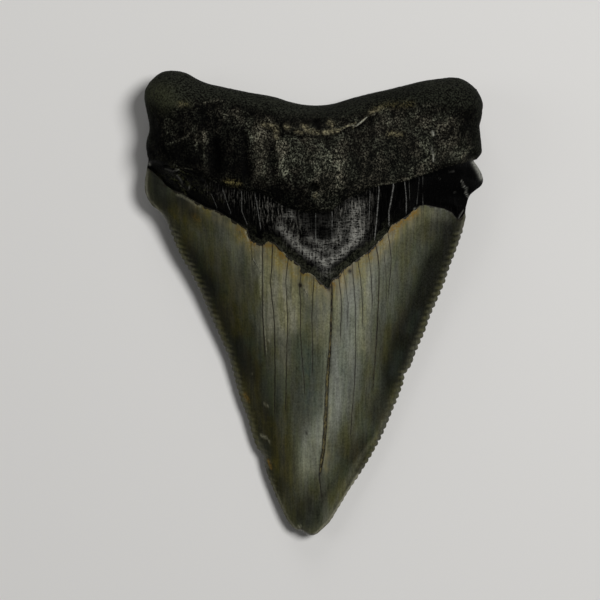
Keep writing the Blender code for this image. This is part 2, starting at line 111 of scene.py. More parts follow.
# The blade's smooth sides, without chips and serrations, as (Y, X)
BLADE_LEFT = (
    (-32.6, -2.4), (-31.5, -3.1), (-30, -4.1), (-26, -5.9), (-20, -8.2), (-14, -10.2), (-8, -12.2),
    (-2, -14.6), (4, -17.4), (9, -19.8), (13, -22.3), (19, -23.7),
)
BLADE_RIGHT = (
    (-32.6, 0.6), (-31.5, 1.65), (-30, 3), (-26, 5.4), (-20, 9), (-14, 11.7), (-8, 14.1), (-2, 16.6),
    (4, 19), (9, 20.9), (13, 22), (19, 23.6),
)

# Heights above the surface as (Y, Z): the cutting edge, and the middle of the blade on each face
EDGE_HEIGHT = (
    (-32.6, 2.1), (-26, 1.75), (-16, 1.7), (-5, 2.1), (6, 2.9), (14, 3.7), (22, 4.4), (32.6, 4.3),
)
BLADE_HEIGHT = ((-32.6, 2.7), (-31, 3.1), (-26, 4.15), (-16, 5.75), (-6, 7.35), (3, 8.8), (14, 10.3))
BLADE_HEIGHT_UNDER = (
    (-32.6, 1.4), (-31, 1.1), (-28, 0.6), (-24, 0.2), (-19, -0.05), (-8, -0.1), (2, 0), (12, 0.35),
    (16, 0.8),
)

# Sections of the blade. The arch is a parabola for this share, and for the rest a wave, which is thin
# at the edges. The power makes the arch of the labial face fuller.
BLADE_ROUNDING = 0.45
BLADE_PARABOLA = 0.7
BLADE_POWER_UNDER = 0.85

# The dark band between enamel and root. It starts a step below the enamel, and past this share of
# the way up to the root the step fades. A ledge leads up to the root's face, and starts and ends this
# far above the root's lower edge. The band is never taken as narrower than the least.
ENAMEL_STEP = 0.24
ENAMEL_STEP_WIDTH = 0.15
ENAMEL_STEP_FADES = 0.1
ROOT_LEDGE = 0.6
ROOT_LEDGE_START = -0.1
ROOT_LEDGE_END = 0.5
NECK_ROUNDING = 2.0
LEAST_BAND = 0.01

# How the root is rounded towards its outline on each face, and from where to where above the edge of
# the enamel the labial face turns from blade to root
ROOT_ROUNDING = 4.3
ROOT_ROUNDING_POWER = 1.75
ROOT_ROUNDING_UNDER = 3.0
TURNS_TO_ROOT_UNDER = (-2.0, 3.0)

# Hills and hollows of the root as (X, Y, radius along X, radius along Y, height)
ROOT_BASE = 9.3
ROOT_FORMS = (
    (0.6, 17.5, 10.5, 8.5, 4.4), (-19.5, 28, 4, 4, 0.5), (18.5, 26.5, 5, 4, 0.5),
    (-13.7, 20.5, 1.1, 4, -0.4), (-9.1, 20.5, 1, 4, -0.35), (11, 22, 4, 5, -0.3),
)
ROOT_BASE_UNDER = -0.35
ROOT_HOLLOW_UNDER = (0.0, 24.0, 11.0, 14.0, 1.5)
NECK_RECESS = (18.6, 15.6, 3.6, 1.7, -1.1)

# The small hole of a blood vessel in the lingual face
FORAMEN = (0.0, 15.8)
FORAMEN_RADIUS = 0.42
FORAMEN_DEPTH = 0.55

# The serrations of each side. Their sizes differ by up to this share, and the left ones are smaller.
# From the tip they grow between these two, and the last ones fade.
SERRATIONS = 52
SERRATION_HEIGHT = 0.21
SERRATION_REACH = 0.3
SERRATION_SPREAD = 0.35
SERRATION_SEEDS = (1, 2)
SERRATIONS_GROW = (-4, 18)
SERRATIONS_THAT_FADE = 2
LEFT_SERRATIONS = 0.75

# The low rib that leads inwards from each serration, and how far it is painted on the left and the right,
# as a painted highlight on its crest
RIB_HEIGHT = 0.07
RIB_REACH = 0.8
PAINTED_RIB_REACH = (1.2, 0.9)

# Cracks in the enamel, from left to right: half the width, as a number or as (Y, half width), then
# points from the top down
MAIN_CRACK_WIDTH = (
    (-26.9, 0.07), (-24.2, 0.14), (-22.5, 0.25), (-20, 0.28), (-15, 0.29), (-11, 0.28), (-8, 0.24),
    (-4, 0.19), (2.2, 0.17),
)
CRACKS = (
    (0.05, (-8.6, 7.6), (-8.5, 4.6)),
    (0.095, (-7.05, 8.1), (-7.1, 1.2), (-7.05, -2.4), (-6.75, -6.8)),
    (
        0.095, (-5.7, 7.9), (-5.75, 5.4), (-6, 2.9), (-5.75, 0.6), (-5.45, -2.4), (-5.35, -9.5),
        (-5.45, -14.5),
    ),
    (0.085, (-3.5, 6.2), (-3.85, 3.4), (-3.75, 1.2), (-3.6, -2.4), (-3.8, -9.5), (-3.9, -14.3)),
    (0.085, (-1.7, 4.4), (-1.95, 2.4), (-1.8, 0.2), (-1.85, -4.1), (-1.6, -7.7), (-1.25, -12)),
    (0.08, (0.05, 3.7), (-0.1, 1.2), (-0.25, -2), (-0.15, -6.8), (-0.2, -9.4)),
    (
        MAIN_CRACK_WIDTH, (2.45, 2.2), (2.5, 1.2), (2.37, -3.4), (2.2, -6.8), (1.9, -10.6), (1.75, -14),
        (1.5, -18.8), (1.35, -20.5), (1.05, -22.4), (0.8, -24), (0.95, -25.6), (1.1, -26.8),
    ),
    (0.08, (3.4, 3.8), (3.65, 2), (3.85, 0), (3.7, -4.1)),
    (0.06, (4.1, 4.4), (4.4, 2.6), (4.75, 0), (4.7, -2.4)),
    (0.08, (5.3, 5.4), (5.55, 2.4), (5.7, 0.2), (5.85, -5.9), (5.7, -11), (5.35, -15.1), (5.2, -17.6)),
    (0.08, (6.1, 5.8), (6.5, 3.2), (6.75, 0), (6.75, -2.5)),
    (0.08, (7.5, 6.9), (7.85, 4.8), (8, 2.6), (8.1, 0.4)),
    (0.11, (8.5, 8.2), (8.85, 6.8), (9.05, 4.4), (9, 1.2), (8.8, -4.1), (8.45, -9.5), (8.3, -11.4)),
    (0.06, (9.8, 6.3), (10.1, 3), (10.1, 1)),
    (0.08, (10.2, 9.8), (10.5, 8.4), (10.75, 5.7), (10.5, 3), (10.4, 1.6)),
)
CRACK_ENDS = 1.6
CRACK_SWAY = 0.018

# The cracks' depth, and the greater depth that they reach between these two half widths. Where a line
# is narrower than the full-depth width it is shallower, and no groove is narrower than the least.
CRACK_DEPTH = 0.05
WIDE_CRACK_DEPTH = 0.2
WIDE_CRACKS = (0.12, 0.2)
FULL_DEPTH_WIDTH = 0.06
LEAST_GROOVE = 0.1

# The waves of the sway: (rate along Y, shift from one crack to the next, size)
SWAYS = ((2.3, 1.7, 1.0), (5.1, 1.0, 0.5))

# Light lines in the dark band, in the same form
STREAKS = (
    (0.06, (-14.1, 14.9), (-13.4, 13.4)),
    (0.07, (-12.5, 15.6), (-11.85, 13.6), (-11.45, 12.6)),
    (0.07, (-9.9, 15.2), (-9.9, 12.7), (-9.2, 11)),
    (0.08, (-8, 14.7), (-7.65, 12.7), (-7.3, 10.4)),
    (0.08, (0.25, 12.3), (0.25, 8.6)),
    (0.08, (2.5, 12.4), (2.5, 8.6)),
    (0.06, (7.7, 15.3), (7.6, 11.5)),
    (0.1, (8.95, 15.8), (8.65, 11.4), (8.4, 9)),
    (0.12, (10.95, 16.2), (10.6, 13.9), (10.35, 12.7), (10.4, 11)),
    (0.09, (12.5, 16.5), (12.75, 14.6), (12.8, 12.7)),
    (0.05, (13.1, 16.5), (13.25, 14.5)),
    (0.07, (14.5, 17), (14.3, 13.9)),
    (0.07, (15, 17.2), (15.15, 13.9)),
)
STREAK_HEIGHT = 0.05
STREAK_REACH = 0.14
STREAK_ENDS = 0.5

# Low relief of the lingual face as strokes: (width, height, points)
RELIEF = (
    (0.45, 0.35, (-15.2, 23.2), (-15, 17.4)),
    (1, 0.32, (-7.4, 24.4), (-6.8, 18.2)),
    (0.7, 0.22, (-4.4, 22.4), (-4.3, 17.6)),
    (0.4, -0.3, (-9.6, 23.4), (-9.2, 17)),
    (0.3, -0.3, (-5.7, 22), (-5.7, 16.6)),
    (1.4, -0.35, (-18.6, 22.3), (-18.4, 20)),
    (0.3, -0.4, (-3.7, 24.4), (-3.4, 23.2)),
    (0.4, -0.4, (0.45, 25.2), (0.6, 24.9)),
    (0.22, 0.2, (-2.6, 24.2), (-0.8, 24.2), (0.5, 23.7), (2.6, 24.4)),
    (0.2, 0.25, (3.6, 23.7), (4.9, 24.5), (5.8, 24.3), (7.4, 25.9)),
    (0.35, -0.25, (4.3, 23.3), (6.2, 23.6), (8, 25.3)),
    (0.25, 0.2, (16.2, 21.8), (16.4, 19.4)),
    (0.3, 0.35, (20.6, 16.6), (21.3, 15.1)),
    (0.3, 0.3, (22.3, 19.2), (23, 18)),
    (0.25, 0.25, (20.2, 11.9), (21, 12.8)),
    (0.2, 0.12, (-15, 27.8), (-12.3, 28.1)),
    (0.2, 0.12, (11, 27.8), (12.8, 28), (15.1, 27.5), (16.9, 27.5)),
)

# The relief starts between these distances from the outline
RELIEF_STARTS = (0.1, 0.8)

# Painted places of the lingual face as strokes: (width, strength, points)
PAINT = {
    # Cream places of the enamel. The strokes near x 7, the line near x 2 below Y -14 and the patch near
    # (-0.5, -21) are a painted sheen and highlight
    "cream_and_sheen": (
        (0.5, 0.35, (-4.8, 3.4), (-4.7, -1.2)), (0.45, 0.3, (3.7, 2.6), (3.6, -1.2)),
        (0.6, 0.4, (7.1, 4.2), (6.9, -2.2)), (0.4, 0.3, (-2.5, 1.6), (-2.4, -2.4)),
        (
            0.3, 0.32, (-13.4, -2.6), (-12.7, -4.5), (-11.25, -8.2), (-10.05, -12.2), (-9.05, -14.8),
            (-7.85, -19.1), (-6.6, -21.6),
        ),
        (
            0.4, 0.28, (16.4, -0.2), (15, -3.4), (13.6, -7.2), (12.4, -9.6), (11.2, -12.9), (10.3, -15.4),
            (8.7, -18.9), (6.4, -21.8),
        ),
        (0.45, 0.35, (5.9, -22.6), (5.5, -23.4), (3.96, -26.3), (2.5, -29.2), (1.6, -30.7)),
        (1.5, 0.65, (-6.4, 5.6), (-5.8, 1.5), (-5.6, -3)), (1.6, 0.95, (-3.8, 6), (-3.5, 2), (-3.1, -2.4)),
        (1.6, 0.3, (-4.4, -3), (-3.8, -8)), (1, 0.4, (-1.2, 3.6), (-0.6, 1)),
        (1.2, 0.6, (1.2, 1.4), (1.4, -1.5), (0.8, -5)), (0.8, 0.5, (3, 2), (3.1, -5)),
        (0.28, 0.9, (2.1, -14.5), (1.85, -18.5), (1.65, -20.5), (1.35, -22.6)),
        (1.2, 0.2, (-2.6, -23), (-2.4, -26)), (0.9, 0.35, (-0.4, -19.5), (-0.5, -23.2)),
        (0.8, 0.2, (1.9, -20.5), (1.4, -23.5)), (0.9, 0.4, (6.9, 4.4), (6.8, -6)),
        (1.8, 0.6, (4.5, 4.2), (8.4, 6.8)), (1, 0.3, (11.5, 9.8), (14, 11.4)),
        (0.6, 0.2, (15.6, 12.7), (17.6, 12), (19.2, 11)), (1.4, 0.3, (-7.2, 4.8), (-5.4, 2)),
        (2, 0.3, (-11, 9.4), (-8.6, 7.3)),
    ),
    "stain": (
        (0.8, 0.45, (-16.5, 13.8), (-10, 10.3)),
        (1.2, 0.85, (-9.3, 9), (-7, 7.4), (-2, 3.8), (2.2, 1.6), (6, 5.2), (10, 9)),
        (0.8, 0.8, (10.2, 9.4), (14, 12.6)), (0.9, 0.35, (5.8, 4), (9, 7)),
        (0.8, 0.3, (9.4, 7.6), (11.4, 9.4)), (0.8, 0.3, (-10.4, 9.4), (-8.4, 7.6)),
        (0.4, 0.35, (2, -21), (1.9, -23.2)),
    ),
    "shade": (
        (1.4, 0.85, (-15, 3.2), (-12.8, -0.6), (-11.2, -4.1)),
        (1.4, 0.75, (-10.8, -6), (-9, -11), (-7.9, -14), (-6.9, -17.6)),
        (1.3, 0.7, (-7.2, -15.5), (-6.3, -19), (-5.8, -22), (-4.8, -26)),
        (1.2, 0.45, (-17.2, 6.4), (-15, 2.4)),
        (1.9, 1.25, (16.6, 4.2), (14.6, -1.3), (12.6, -5.5), (11.3, -9.6)),
        (1.4, 0.5, (10.4, -12), (8.4, -15.6)),
        (0.6, 0.4, (4.4, -22), (3.1, -24.4), (1.6, -26.8), (0.7, -28.6), (0.4, -30.4)),
        (1.3, 0.2, (-0.8, -27.6), (-0.8, -30.4)), (1.3, 0.3, (0.6, -28), (-0.2, -30.8)),
        (0.6, 0.3, (-1, -26.4), (-0.4, -28.8)), (0.9, 0.2, (1.6, -23.6), (1, -26)),
        (0.9, 0.3, (-1.6, -27.8), (-2, -30)),
        (1.3, 0.3, (-4, -21), (-3.6, -25), (-2.4, -28.6), (-1.4, -31)),
        (1.8, 0.22, (-18, 12.6), (-14, 9.8)), (1.8, 0.95, (20.2, 10.4), (18.8, 6.4)),
        (2.2, 0.55, (18, 9.6), (16.8, 6.6)), (1, 0.3, (15.6, 10.6), (18, 11.4)),
        (0.7, 0.8, (-23.2, 18.6), (-23.4, 15.4), (-22, 13.4)),
        (1.8, 1, (-20.6, 13.6), (-18.6, 14), (-17.2, 13.2)),
        (1.2, 0.5, (-19.8, 11.6), (-18, 8), (-16.6, 5.6)),
    ),
    "blue": (
        (2, 0.3, (-1.2, -7), (-0.8, -14.5)), (1.5, 0.25, (-1.8, -4.5), (-1, -8)),
        (1.4, 0.35, (-0.9, -9.5), (-0.6, -14.6)), (1.2, 0.35, (4.6, -9.5), (4.3, -12)),
        (0.7, 0.3, (4.1, -1.2), (4, -6), (3.9, -9.2)), (0.8, 0.25, (14.2, -1.5), (13.4, -3.4)),
        (0.8, 0.25, (11.9, -7), (11.3, -9.6)), (1, 0.25, (-10.4, 8), (-9.6, 4)),
    ),
    "yellow": (
        (1.6, 0.5, (-4.4, -17.4), (-3.8, -23.6), (-3, -27.6)), (1.5, 0.45, (-8.6, -12), (-6.8, -18)),
        (0.8, 0.5, (-5.4, -22.2), (-4.8, -23.4)), (1.6, 0.6, (-19, 12.5), (-16.6, 10.5)),
        (1.2, 0.25, (4.6, -25), (3.4, -28)), (0.35, 0.5, (2.1, -19.5), (1.6, -22.5)),
        (1.2, 0.5, (-12, 0.5), (-10.4, -3.6)), (0.45, 1, (-12, 16.7), (-10.5, 16.3)),
        (0.5, 0.4, (8.6, 27), (10.6, 27.6), (13.4, 27.6)), (0.3, 0.5, (-18.4, 27.5), (-17.4, 27.4)),
        (0.4, 0.35, (10.4, 23.4), (12.2, 23.3)),
    ),
    "orange": (
        (0.3, 1, (-8.6, 8.5), (-8.2, 8.3)), (0.35, 0.8, (-6.6, 8.2), (-5.2, 7.9), (-4.2, 6.6)),
        (0.3, 0.5, (-4.8, 6.8), (-3.4, 5.4)), (0.25, 0.6, (-1.6, 4.1), (-0.6, 3.9)),
        (0.35, 1, (2.5, 3.1), (2.75, 2.4)), (0.3, 0.5, (3.6, 3.7), (5.4, 5.2)),
        (0.3, 0.6, (7.4, 6.8), (9.2, 8.5)), (0.45, 1, (10.7, 10.2), (12.4, 11.5), (14.1, 12.7)),
        (0.3, 0.6, (-9.6, -12.8), (-9.2, -13.5)), (0.18, 0.8, (-6.35, -22), (-5.95, -23)),
        (0.4, 0.25, (-16.5, 12.1), (-16, 11.6)), (0.3, 0.6, (-10.4, 10.4), (-9.4, 9.6)),
        (0.25, 0.8, (-9.5, 9.4), (-8.7, 8.7)),
    ),
    "pale": (
        (0.08, 0.4, (-6.9, -14), (-6.5, -14.1), (-6.2, -14.6)),
        (0.1, 0.45, (-7.4, -18.5), (-6.6, -18.7), (-6, -19.6)),
        # The next two strokes, along the tip's edges, are a painted highlight
        (0.16, 0.6, (0.2, -32.3), (1.2, -31.45), (2.2, -30.4), (3.3, -28.7), (4.9, -26.1), (6.3, -23.9)),
        (0.12, 0.25, (-2.8, -31.2), (-3.5, -30.2), (-4.5, -28.2), (-5.6, -25.6)),
        (0.12, 0.8, (-6.2, -5.05), (-6.15, -5.1)), (0.05, 0.4, (-9, -9.5), (-8.5, -9.8)),
        (0.05, 0.4, (-9.6, -13.4), (-9, -13.5)), (0.1, 0.9, (-2.9, -31.2), (-2.4, -31.5), (-1.8, -31.2)),
        (0.14, 1, (-9.35, 9.9), (-9.15, 9.3), (-9, 8.7)), (0.08, 0.6, (-7.3, 7.9), (-7.35, 1)),
        (0.07, 0.6, (-6.9, 1), (-6.85, -2.4), (-6.55, -6.8)),
        (0.12, 0.4, (1.6, -13), (1.25, -17), (0.95, -20)), (0.14, 0.9, (14, 13.1), (14.05, 13)),
        (0.07, 0.4, (-19, 15.2), (-18.2, 14.9), (-16.8, 14), (-15.6, 13.4)),
        (0.07, 0.4, (-14.4, 12.8), (-13.2, 12.4), (-12.6, 12)), (0.06, 0.35, (-23.3, 15.8), (-23.2, 17.6)),
        (0.07, 0.35, (-22.3, 13.9), (-21, 12.5)), (0.14, 0.8, (-22.85, 19.5), (-22.8, 19.3)),
        (0.07, 0.8, (20.5, 17), (20.8, 16.3), (21.3, 16), (21.2, 15.4), (21.7, 14.8)),
        (0.34, 1, (22.3, 19.6), (22.85, 18.7), (23.4, 17.6)), (0.05, 0.4, (17.3, 17.3), (17.4, 17.2)),
        (0.05, 0.3, (19.6, 15.5), (19.7, 15.4)), (0.05, 0.25, (18.6, 18), (19.3, 18.2)),
        (0.09, 1, (5.6, 24.2), (6.5, 25), (7.3, 25.9)), (0.07, 0.8, (3.8, 23.9), (4.7, 24.55), (5.5, 24.6)),
        (0.07, 0.4, (-18.9, 17.6), (-18.3, 16.9), (-18.4, 16.2), (-17.9, 15.6)),
        (0.06, 0.35, (-17.6, 17), (-17.1, 16.3), (-17.4, 15.7)),
        (0.06, 0.3, (-20.6, 18.6), (-19.6, 18.2), (-18.6, 18.3)), (0.07, 0.35, (20.2, 11.9), (20.9, 13)),
        (0.14, 1.4, (16.15, 21.6), (16.4, 20.6), (16.5, 19.6)), (0.12, 1.2, (16.3, 23.6), (16.45, 23.2)),
    ),
    "spot": (
        (0.26, 1.4, (-1.9, 2.6), (-1.85, 2.5)), (0.26, 1.3, (4.95, 4.5), (5, 4.45)),
        (0.16, 0.9, (-1.05, -17.8), (-0.9, -18)), (0.22, 0.8, (1.15, -26.7), (1.2, -26.8)),
        (0.12, 0.7, (-2.3, -8.8), (-2.3, -8.9)), (0.3, 0.8, (2.1, 2), (2.3, 1.9)),
    ),
    "green": (
        (1.5, 1, (-22, 17.6), (-21.7, 14.9)), (1.7, 1.1, (-22, 29), (-20.8, 28.4)),
        (0.6, 0.5, (-20.6, 27.6), (-17.2, 27.5)),
    ),
    # Pale grains of the root. The heavy strokes on the ridges near x -15, -7.5 and -4.5 are a painted
    # highlight where the ridges catch the light
    "chalk_and_highlight": (
        (3.6, 0.28, (-2, 20), (1.5, 18)), (1, 0.2, (6.5, 16.6), (10, 17.4), (16.5, 19.2)),
        (1.3, 0.5, (17, 20.2), (20.6, 20.6)), (1.1, 1.5, (-7.8, 23), (-7.2, 18)),
        (0.7, 1.1, (-4.6, 22), (-4.3, 17.8)), (2.2, 0.35, (-0.5, 21.6), (1, 20)),
        (0.8, 0.3, (-12.4, 26.4), (-9, 25.2)), (0.4, 0.75, (-15, 23.4), (-14.9, 18.4)),
        (0.14, 0.55, (-20.2, 22), (-18.6, 22.4), (-17.4, 23), (-16.3, 24.4)),
        (0.14, 0.5, (-16.4, 23.8), (-16.1, 21)), (4, 0.24, (6, 21.6), (9, 23)),
        (2.4, 0.2, (10, 24), (17, 24.6)), (2.2, 0.3, (15.5, 21.8), (20.5, 21.8)),
        (0.6, 0.35, (3.2, 22.8), (3.4, 16)), (0.7, 0.2, (-10.6, 26.2), (-6, 25.2)),
        (0.25, 0.9, (16.3, 23.6), (16.5, 23.3)), (1.3, 0.22, (10, 25.6), (18.5, 25.6)),
        (0.5, 0.2, (-21, 26), (-20, 23.6)), (0.5, 0.4, (0, 15.4), (1, 13.8)),
        (0.4, 0.35, (-3.6, 24.5), (-2, 24)), (0.14, 0.5, (-15, 27.8), (-13.6, 28.1), (-12.6, 28)),
        (0.16, 0.9, (12.5, 27.8), (12.8, 28)), (0.2, 0.9, (15.1, 27.4), (16.7, 27.6)),
        (0.13, 0.7, (-20, 18.9), (-18.2, 18.5), (-16.8, 18.3), (-16.2, 17.6)),
        (0.12, 0.9, (8.1, 15.9), (11.2, 16.6), (13.5, 17.2), (15.3, 17.8)),
        (0.12, 0.8, (0.8, 12.7), (2.2, 12.8), (3.3, 13.4)),
    ),
    "tan": (
        (0.35, 0.75, (-1.4, 24.5), (-0.9, 24.1)), (0.28, 0.85, (-0.6, 23.8), (0.5, 23.5)),
        (0.3, 0.75, (2.1, 25.1), (2.5, 24.6)), (0.22, 1, (1.5, 23.5), (3.6, 23.8)),
        (0.16, 0.9, (3.6, 23.8), (4.8, 24.6), (5.6, 24.7)),
        (0.14, 0.9, (5.5, 24.1), (6.4, 24.9), (7.4, 26)), (0.2, 0.6, (-2.6, 23.6), (-1.8, 23.5)),
        (0.35, 0.4, (-7, 24.6), (-5.6, 24.4)), (0.22, 0.55, (-3.8, 24.5), (-3.6, 24.3)),
        (0.25, 0.35, (10.5, 23.4), (11.9, 23.3)), (0.25, 0.4, (-18.5, 27.3), (-18, 27.3)),
        (0.3, 0.35, (7.8, 26.5), (9.2, 27.1)), (0.3, 0.5, (0.1, 14.9), (0.3, 14.6)),
        (0.3, 0.4, (-5.2, 24.2), (-5.2, 22.8)),
    ),
    "scratch": (
        (
            0.5, 1.1, (-4.6, 10.6), (-3.4, 9.3), (-2, 7.8), (-0.4, 6.6), (1.7, 5.7), (3.4, 6.6), (5.4, 8.4),
            (6.4, 9.8),
        ),
        (0.35, 0.8, (-4, 11.9), (-3.3, 12.4), (-2.9, 11.8)), (1.2, 0.8, (5.8, 12.6), (5.6, 9.6)),
        (0.5, 0.6, (0.2, 7.4), (2.4, 7.4)), (0.9, 0.35, (1.4, 5.4), (1.7, 4.4)),
        (0.5, 0.45, (3.6, 11), (3.4, 8)), (0.45, 0.6, (-0.8, 8.9), (1.2, 8.2), (3.4, 8.8)),
        (1.2, 0.15, (-1, 11), (3, 10.4)),
    ),
    "fringe": (
        (1, 0.32, (-10.5, 14.6), (-7.4, 14)), (1, 0.65, (-6.6, 13.6), (-4.6, 12.8)),
        (1, 0.5, (-7.5, 12.8), (-6, 11.4)), (1.5, 0.7, (-3.4, 10.6), (-2.4, 9)),
        (1.2, 0.8, (4.2, 13), (5.8, 13.6)), (0.9, 0.15, (6.6, 14), (8.2, 14.8)),
        (1.2, 0.6, (6.6, 13), (6.8, 10.4)), (0.8, 0.3, (-14.5, 15.6), (-11.5, 14.6)),
    ),
    "edge_band": ((2.4, 1, (-7.8, 8.6), (-4, 7.2), (1.8, 3.6), (5.4, 6.6), (9, 9.2)),),
    # Near-black places: painted shade in the root's slots and hollows, in the recess under the right lobe
    # and down the root's right side, and a few darker places of the band
    "dark": (
        (0.85, 1, (-13.4, 22.4), (-13.2, 18.2)), (1.5, 0.8, (-18.4, 21), (-17.2, 19.7)),
        (0.45, 0.85, (-9.5, 22.8), (-9.2, 17.6)), (0.3, 0.8, (-5.8, 21.6), (-5.7, 17.6)),
        (0.28, 1, (-4.5, 24.7), (-4.2, 23.8), (-4.4, 22.8)), (0.45, 1, (0.3, 25.3), (0.6, 24.5)),
        (0.22, 0.8, (-2.8, 23), (0.2, 22.9)), (0.3, 0.8, (-10, 26), (-8.6, 26)),
        (0.25, 0.7, (1.6, 22.6), (2.4, 22.6)), (1.6, 1, (15, 15.6), (17.5, 16.2), (21, 16)),
        (1.2, 1, (18, 17.4), (22, 18.6)), (0.8, 1, (20.4, 14.2), (21.2, 13.4)),
        (0.7, 0.7, (-0.2, 11.6), (0.8, 10.2), (2, 9.8)), (0.5, 0.6, (-22.3, 23.5), (-20, 20)),
        (0.3, 0.7, (5.6, 24), (8, 25.4)), (0.7, 1, (-22.6, 19.1), (-20.8, 18.8)),
        (1.8, 0.3, (22.6, 29.4), (22.8, 22.4)), (0.9, 0.3, (1.5, 27), (8, 28.6), (14, 29.6)),
        (0.5, 0.9, (-21.4, 14.9), (-20.6, 13.7)), (0.5, 0.7, (-20.2, 16.6), (-19.6, 16.3)),
        (0.6, 0.8, (-16.9, 15.2), (-15.6, 14.6)),
    ),
    "crust": (
        (1.2, 0.3, (-22, 18.4), (-19, 17.4), (-15.5, 16.2)), (0.9, 0.25, (-15, 15.2), (-12.5, 14.4)),
        (0.12, 0.9, (-20.6, 19), (-18.6, 18.4), (-17, 17.7)),
        (0.16, 1, (-20.4, 17.6), (-19, 17), (-18.3, 16), (-17.7, 15.3)),
        (0.14, 0.9, (-18.8, 17.9), (-17.3, 16.5), (-16.2, 15.4)),
    ),
    "smooth": ((0.6, 0.8, (-23.2, 26.5), (-23.2, 22.4)), (0.7, 0.8, (23.2, 29), (23.2, 21.5))),
}

# The most that the strokes of a name may add up to, where it isn't 1. The pale grains go higher, for
# the painted highlight on the root's ridges.
MOST_PAINT = {"chalk_and_highlight": 1.8}

# The lighter middle of the enamel as (Y, X): its left and right limits, its brightest line, and the
# width of that line. The darker margins are partly the enamel's colour and partly painted shading where
# the blade curves away from the light. The brightest line is partly a paler streak and partly a painted
# sheen.
BODY_LEFT = (
    (-27, -4.6), (-20, -4.4), (-14, -4.4), (-8, -6.4), (-3, -8.4), (0.5, -10.8), (6, -13.6), (12, -19.5),
)
BODY_RIGHT = ((-27, 4), (-20, 4.8), (-17, 7.8), (-10, 9.8), (-5, 10.4), (0.5, 12.6), (6, 16.2), (12, 19))
GLOW = (
    (-25, -1.2), (-20.6, -0.5), (-18, 0.5), (-15, 2.3), (-12, 3.1), (-8, 3.9), (-3, 5.2), (2, 6), (7, 7.2),
)
GLOW_WIDTH = ((-25, 1), (-20, 1.9), (-15, 2.3), (-12, 2.2), (-3, 2.7), (4, 3.4), (7, 2.8))

# How the middle starts inside each limit, the bright line starts above the tip, and the middle of the
# labial face starts with the height of the arch
BODY_LEFT_FADES = (-3.5, 3.0)
BODY_RIGHT_FADES = (-3.0, 2.5)
GLOW_FADES = (-26.0, -21.8)
BODY_UNDER = (0.1, 0.8)

# Above this line the root is worn smooth, from the first height over it to the second
WORN_FROM = (-0.7, 0.9)
CREST_LINE = (
    (-23.6, 27.6), (-20, 27.2), (-17.5, 27.7), (-15, 28), (-12.3, 28.3), (-9.5, 27.4), (-6.5, 26.6),
    (-4, 25.9), (-1, 25.9), (0.5, 26), (2.6, 25.9), (5, 26), (7, 26.6), (9, 27.5), (12, 27.6), (16, 27.3),
    (20, 26.8), (23.6, 26.8),
)

# Noise of each kind of wear: (features per millimetre along X, Y and Z, octaves, seed)
GRAIN = ((2.4, 2.0, 2.4), 3, 0)
LUMPS = ((0.42, 0.3, 0.42), 3, 31.7)
HOLLOWS = ((0.5, 0.2, 0.4), 3, 17.9)
FLUTES = ((1.6, 0.1, 1.0), 2, 11.3)
WRINKLES = ((5.0, 0.6, 2.0), 2, 5.1)

# How deep the wear is on the rough root and the crust, on the smooth root, on the band, on the enamel
GRAIN_DEPTH = 0.1
LUMP_DEPTH = 0.1
HOLLOW_DEPTH = 0.15
WORN_GRAIN_DEPTH = 0.05
WORN_LUMP_DEPTH = 0.03
WRINKLE_DEPTH = 0.035
FLUTE_DEPTH = 0.012

# The root's wear and the band's start between these distances above their lower edges, and smooth
# places lose a share of it. At the outline a share is left, which grows to the whole between these
# distances, and the fine wear of band and enamel starts from nothing there.
ROOT_WEAR_STARTS = (-0.2, 0.3)
BAND_WEAR_STARTS = (0.0, 0.2)
SMOOTHNESS = 0.75
RIM_WEAR = 0.4
RIM_WEAR_FADES = (0.0, 1.0)
FINE_WEAR_STARTS = (0.0, 0.6)

# The pale grains on the labial face, and how much their noise changes them
CHALK_UNDER = 0.2
CHALK_VARIES = 0.4
CHALK_NOISE = ((0.12, 0.3, 0.2), 3, 3.3)

# How the mesh is divided: rows from the tip to the top of the root, and columns from side to side.
# The lower face leaves out more of both.
STEPS_PER_SERRATION = 6
STEPS_PER_INNER_ROW = 3
BLADE_ROWS = SERRATIONS * STEPS_PER_SERRATION
SHOULDER_ROWS = 18
NECK_ROWS = 38
ROOT_ROWS = 66
LOBE_ROWS = 32
NECK_CROWDING = 1.5
TOP_CROWDING = 1.8
COLUMNS = 278
FINE_COLUMNS = 14
EDGE_COLUMNS = 18
EDGE_STEP_UNDER = 3
COLUMN_STEP_UNDER = 7
FULL_ROWS_AT_TOP = 6

# How the rows run: the powers with which a notch's effect fades inwards and a bend's effect fades
# towards the blade's edges, and how far the key lines' small bends are smoothed and reach
NOTCH_POWER = 5
BEND_POWER = 6
SOFTENING = 1.6
SOFT_POINTS = 400
SOFT_SAMPLES = 9
FINE_BEND_BELOW = 0.1
FINE_BEND_ABOVE = 0.3

# The steps of a curve, and how far the outline's direction is taken on each side of a point
CURVE_STEP = 0.1
FINE_CURVE_STEP = 0.05
DIRECTION_REACH = 0.2

# A number that is too small to show, and the distance from lines that aren't there
HAIR = 1e-6
FAR = 9.0

# The numbers of the first and the last material. The dark band is between them.
ENAMEL = 0
ROOT = 2

# Painted lines: how softly their sides end, and the half width below which there is none to widen
LINE_SOFTNESS = 0.06
LEAST_LINE = 0.01

# The surface under the tooth: its size in metres, and its distance from the tooth in millimetres
FLOOR_SIZE = 4.0
FLOOR_GAP = 0.02
FLOOR_COLOUR = (0.74, 0.73, 0.71, 1.0)
FLOOR_ROUGHNESS = 0.85
FLOOR_SPECULAR = 0.2

# Lights: (place in metres, size in metres, power in watts)
LIGHTS = {
    "key": ((0.28, 0.14, 0.56), 0.25, 3.3),
    "fill": ((-0.6, 0.1, 0.35), 0.4, 0.45),
    "back": ((-0.1, 0.65, 0.3), 0.4, 0.8),
}
SURROUNDING_LIGHT = 0.06

# Seen from straight above, this much of the surface round the tooth shows
VIEW_WIDTH = 84.0
VIEW_CENTRE = (-1.9, 0.5, 3.0)
LENS = 150.0
SENSOR = 36.0
CLIPPING = (0.01, 10.0)


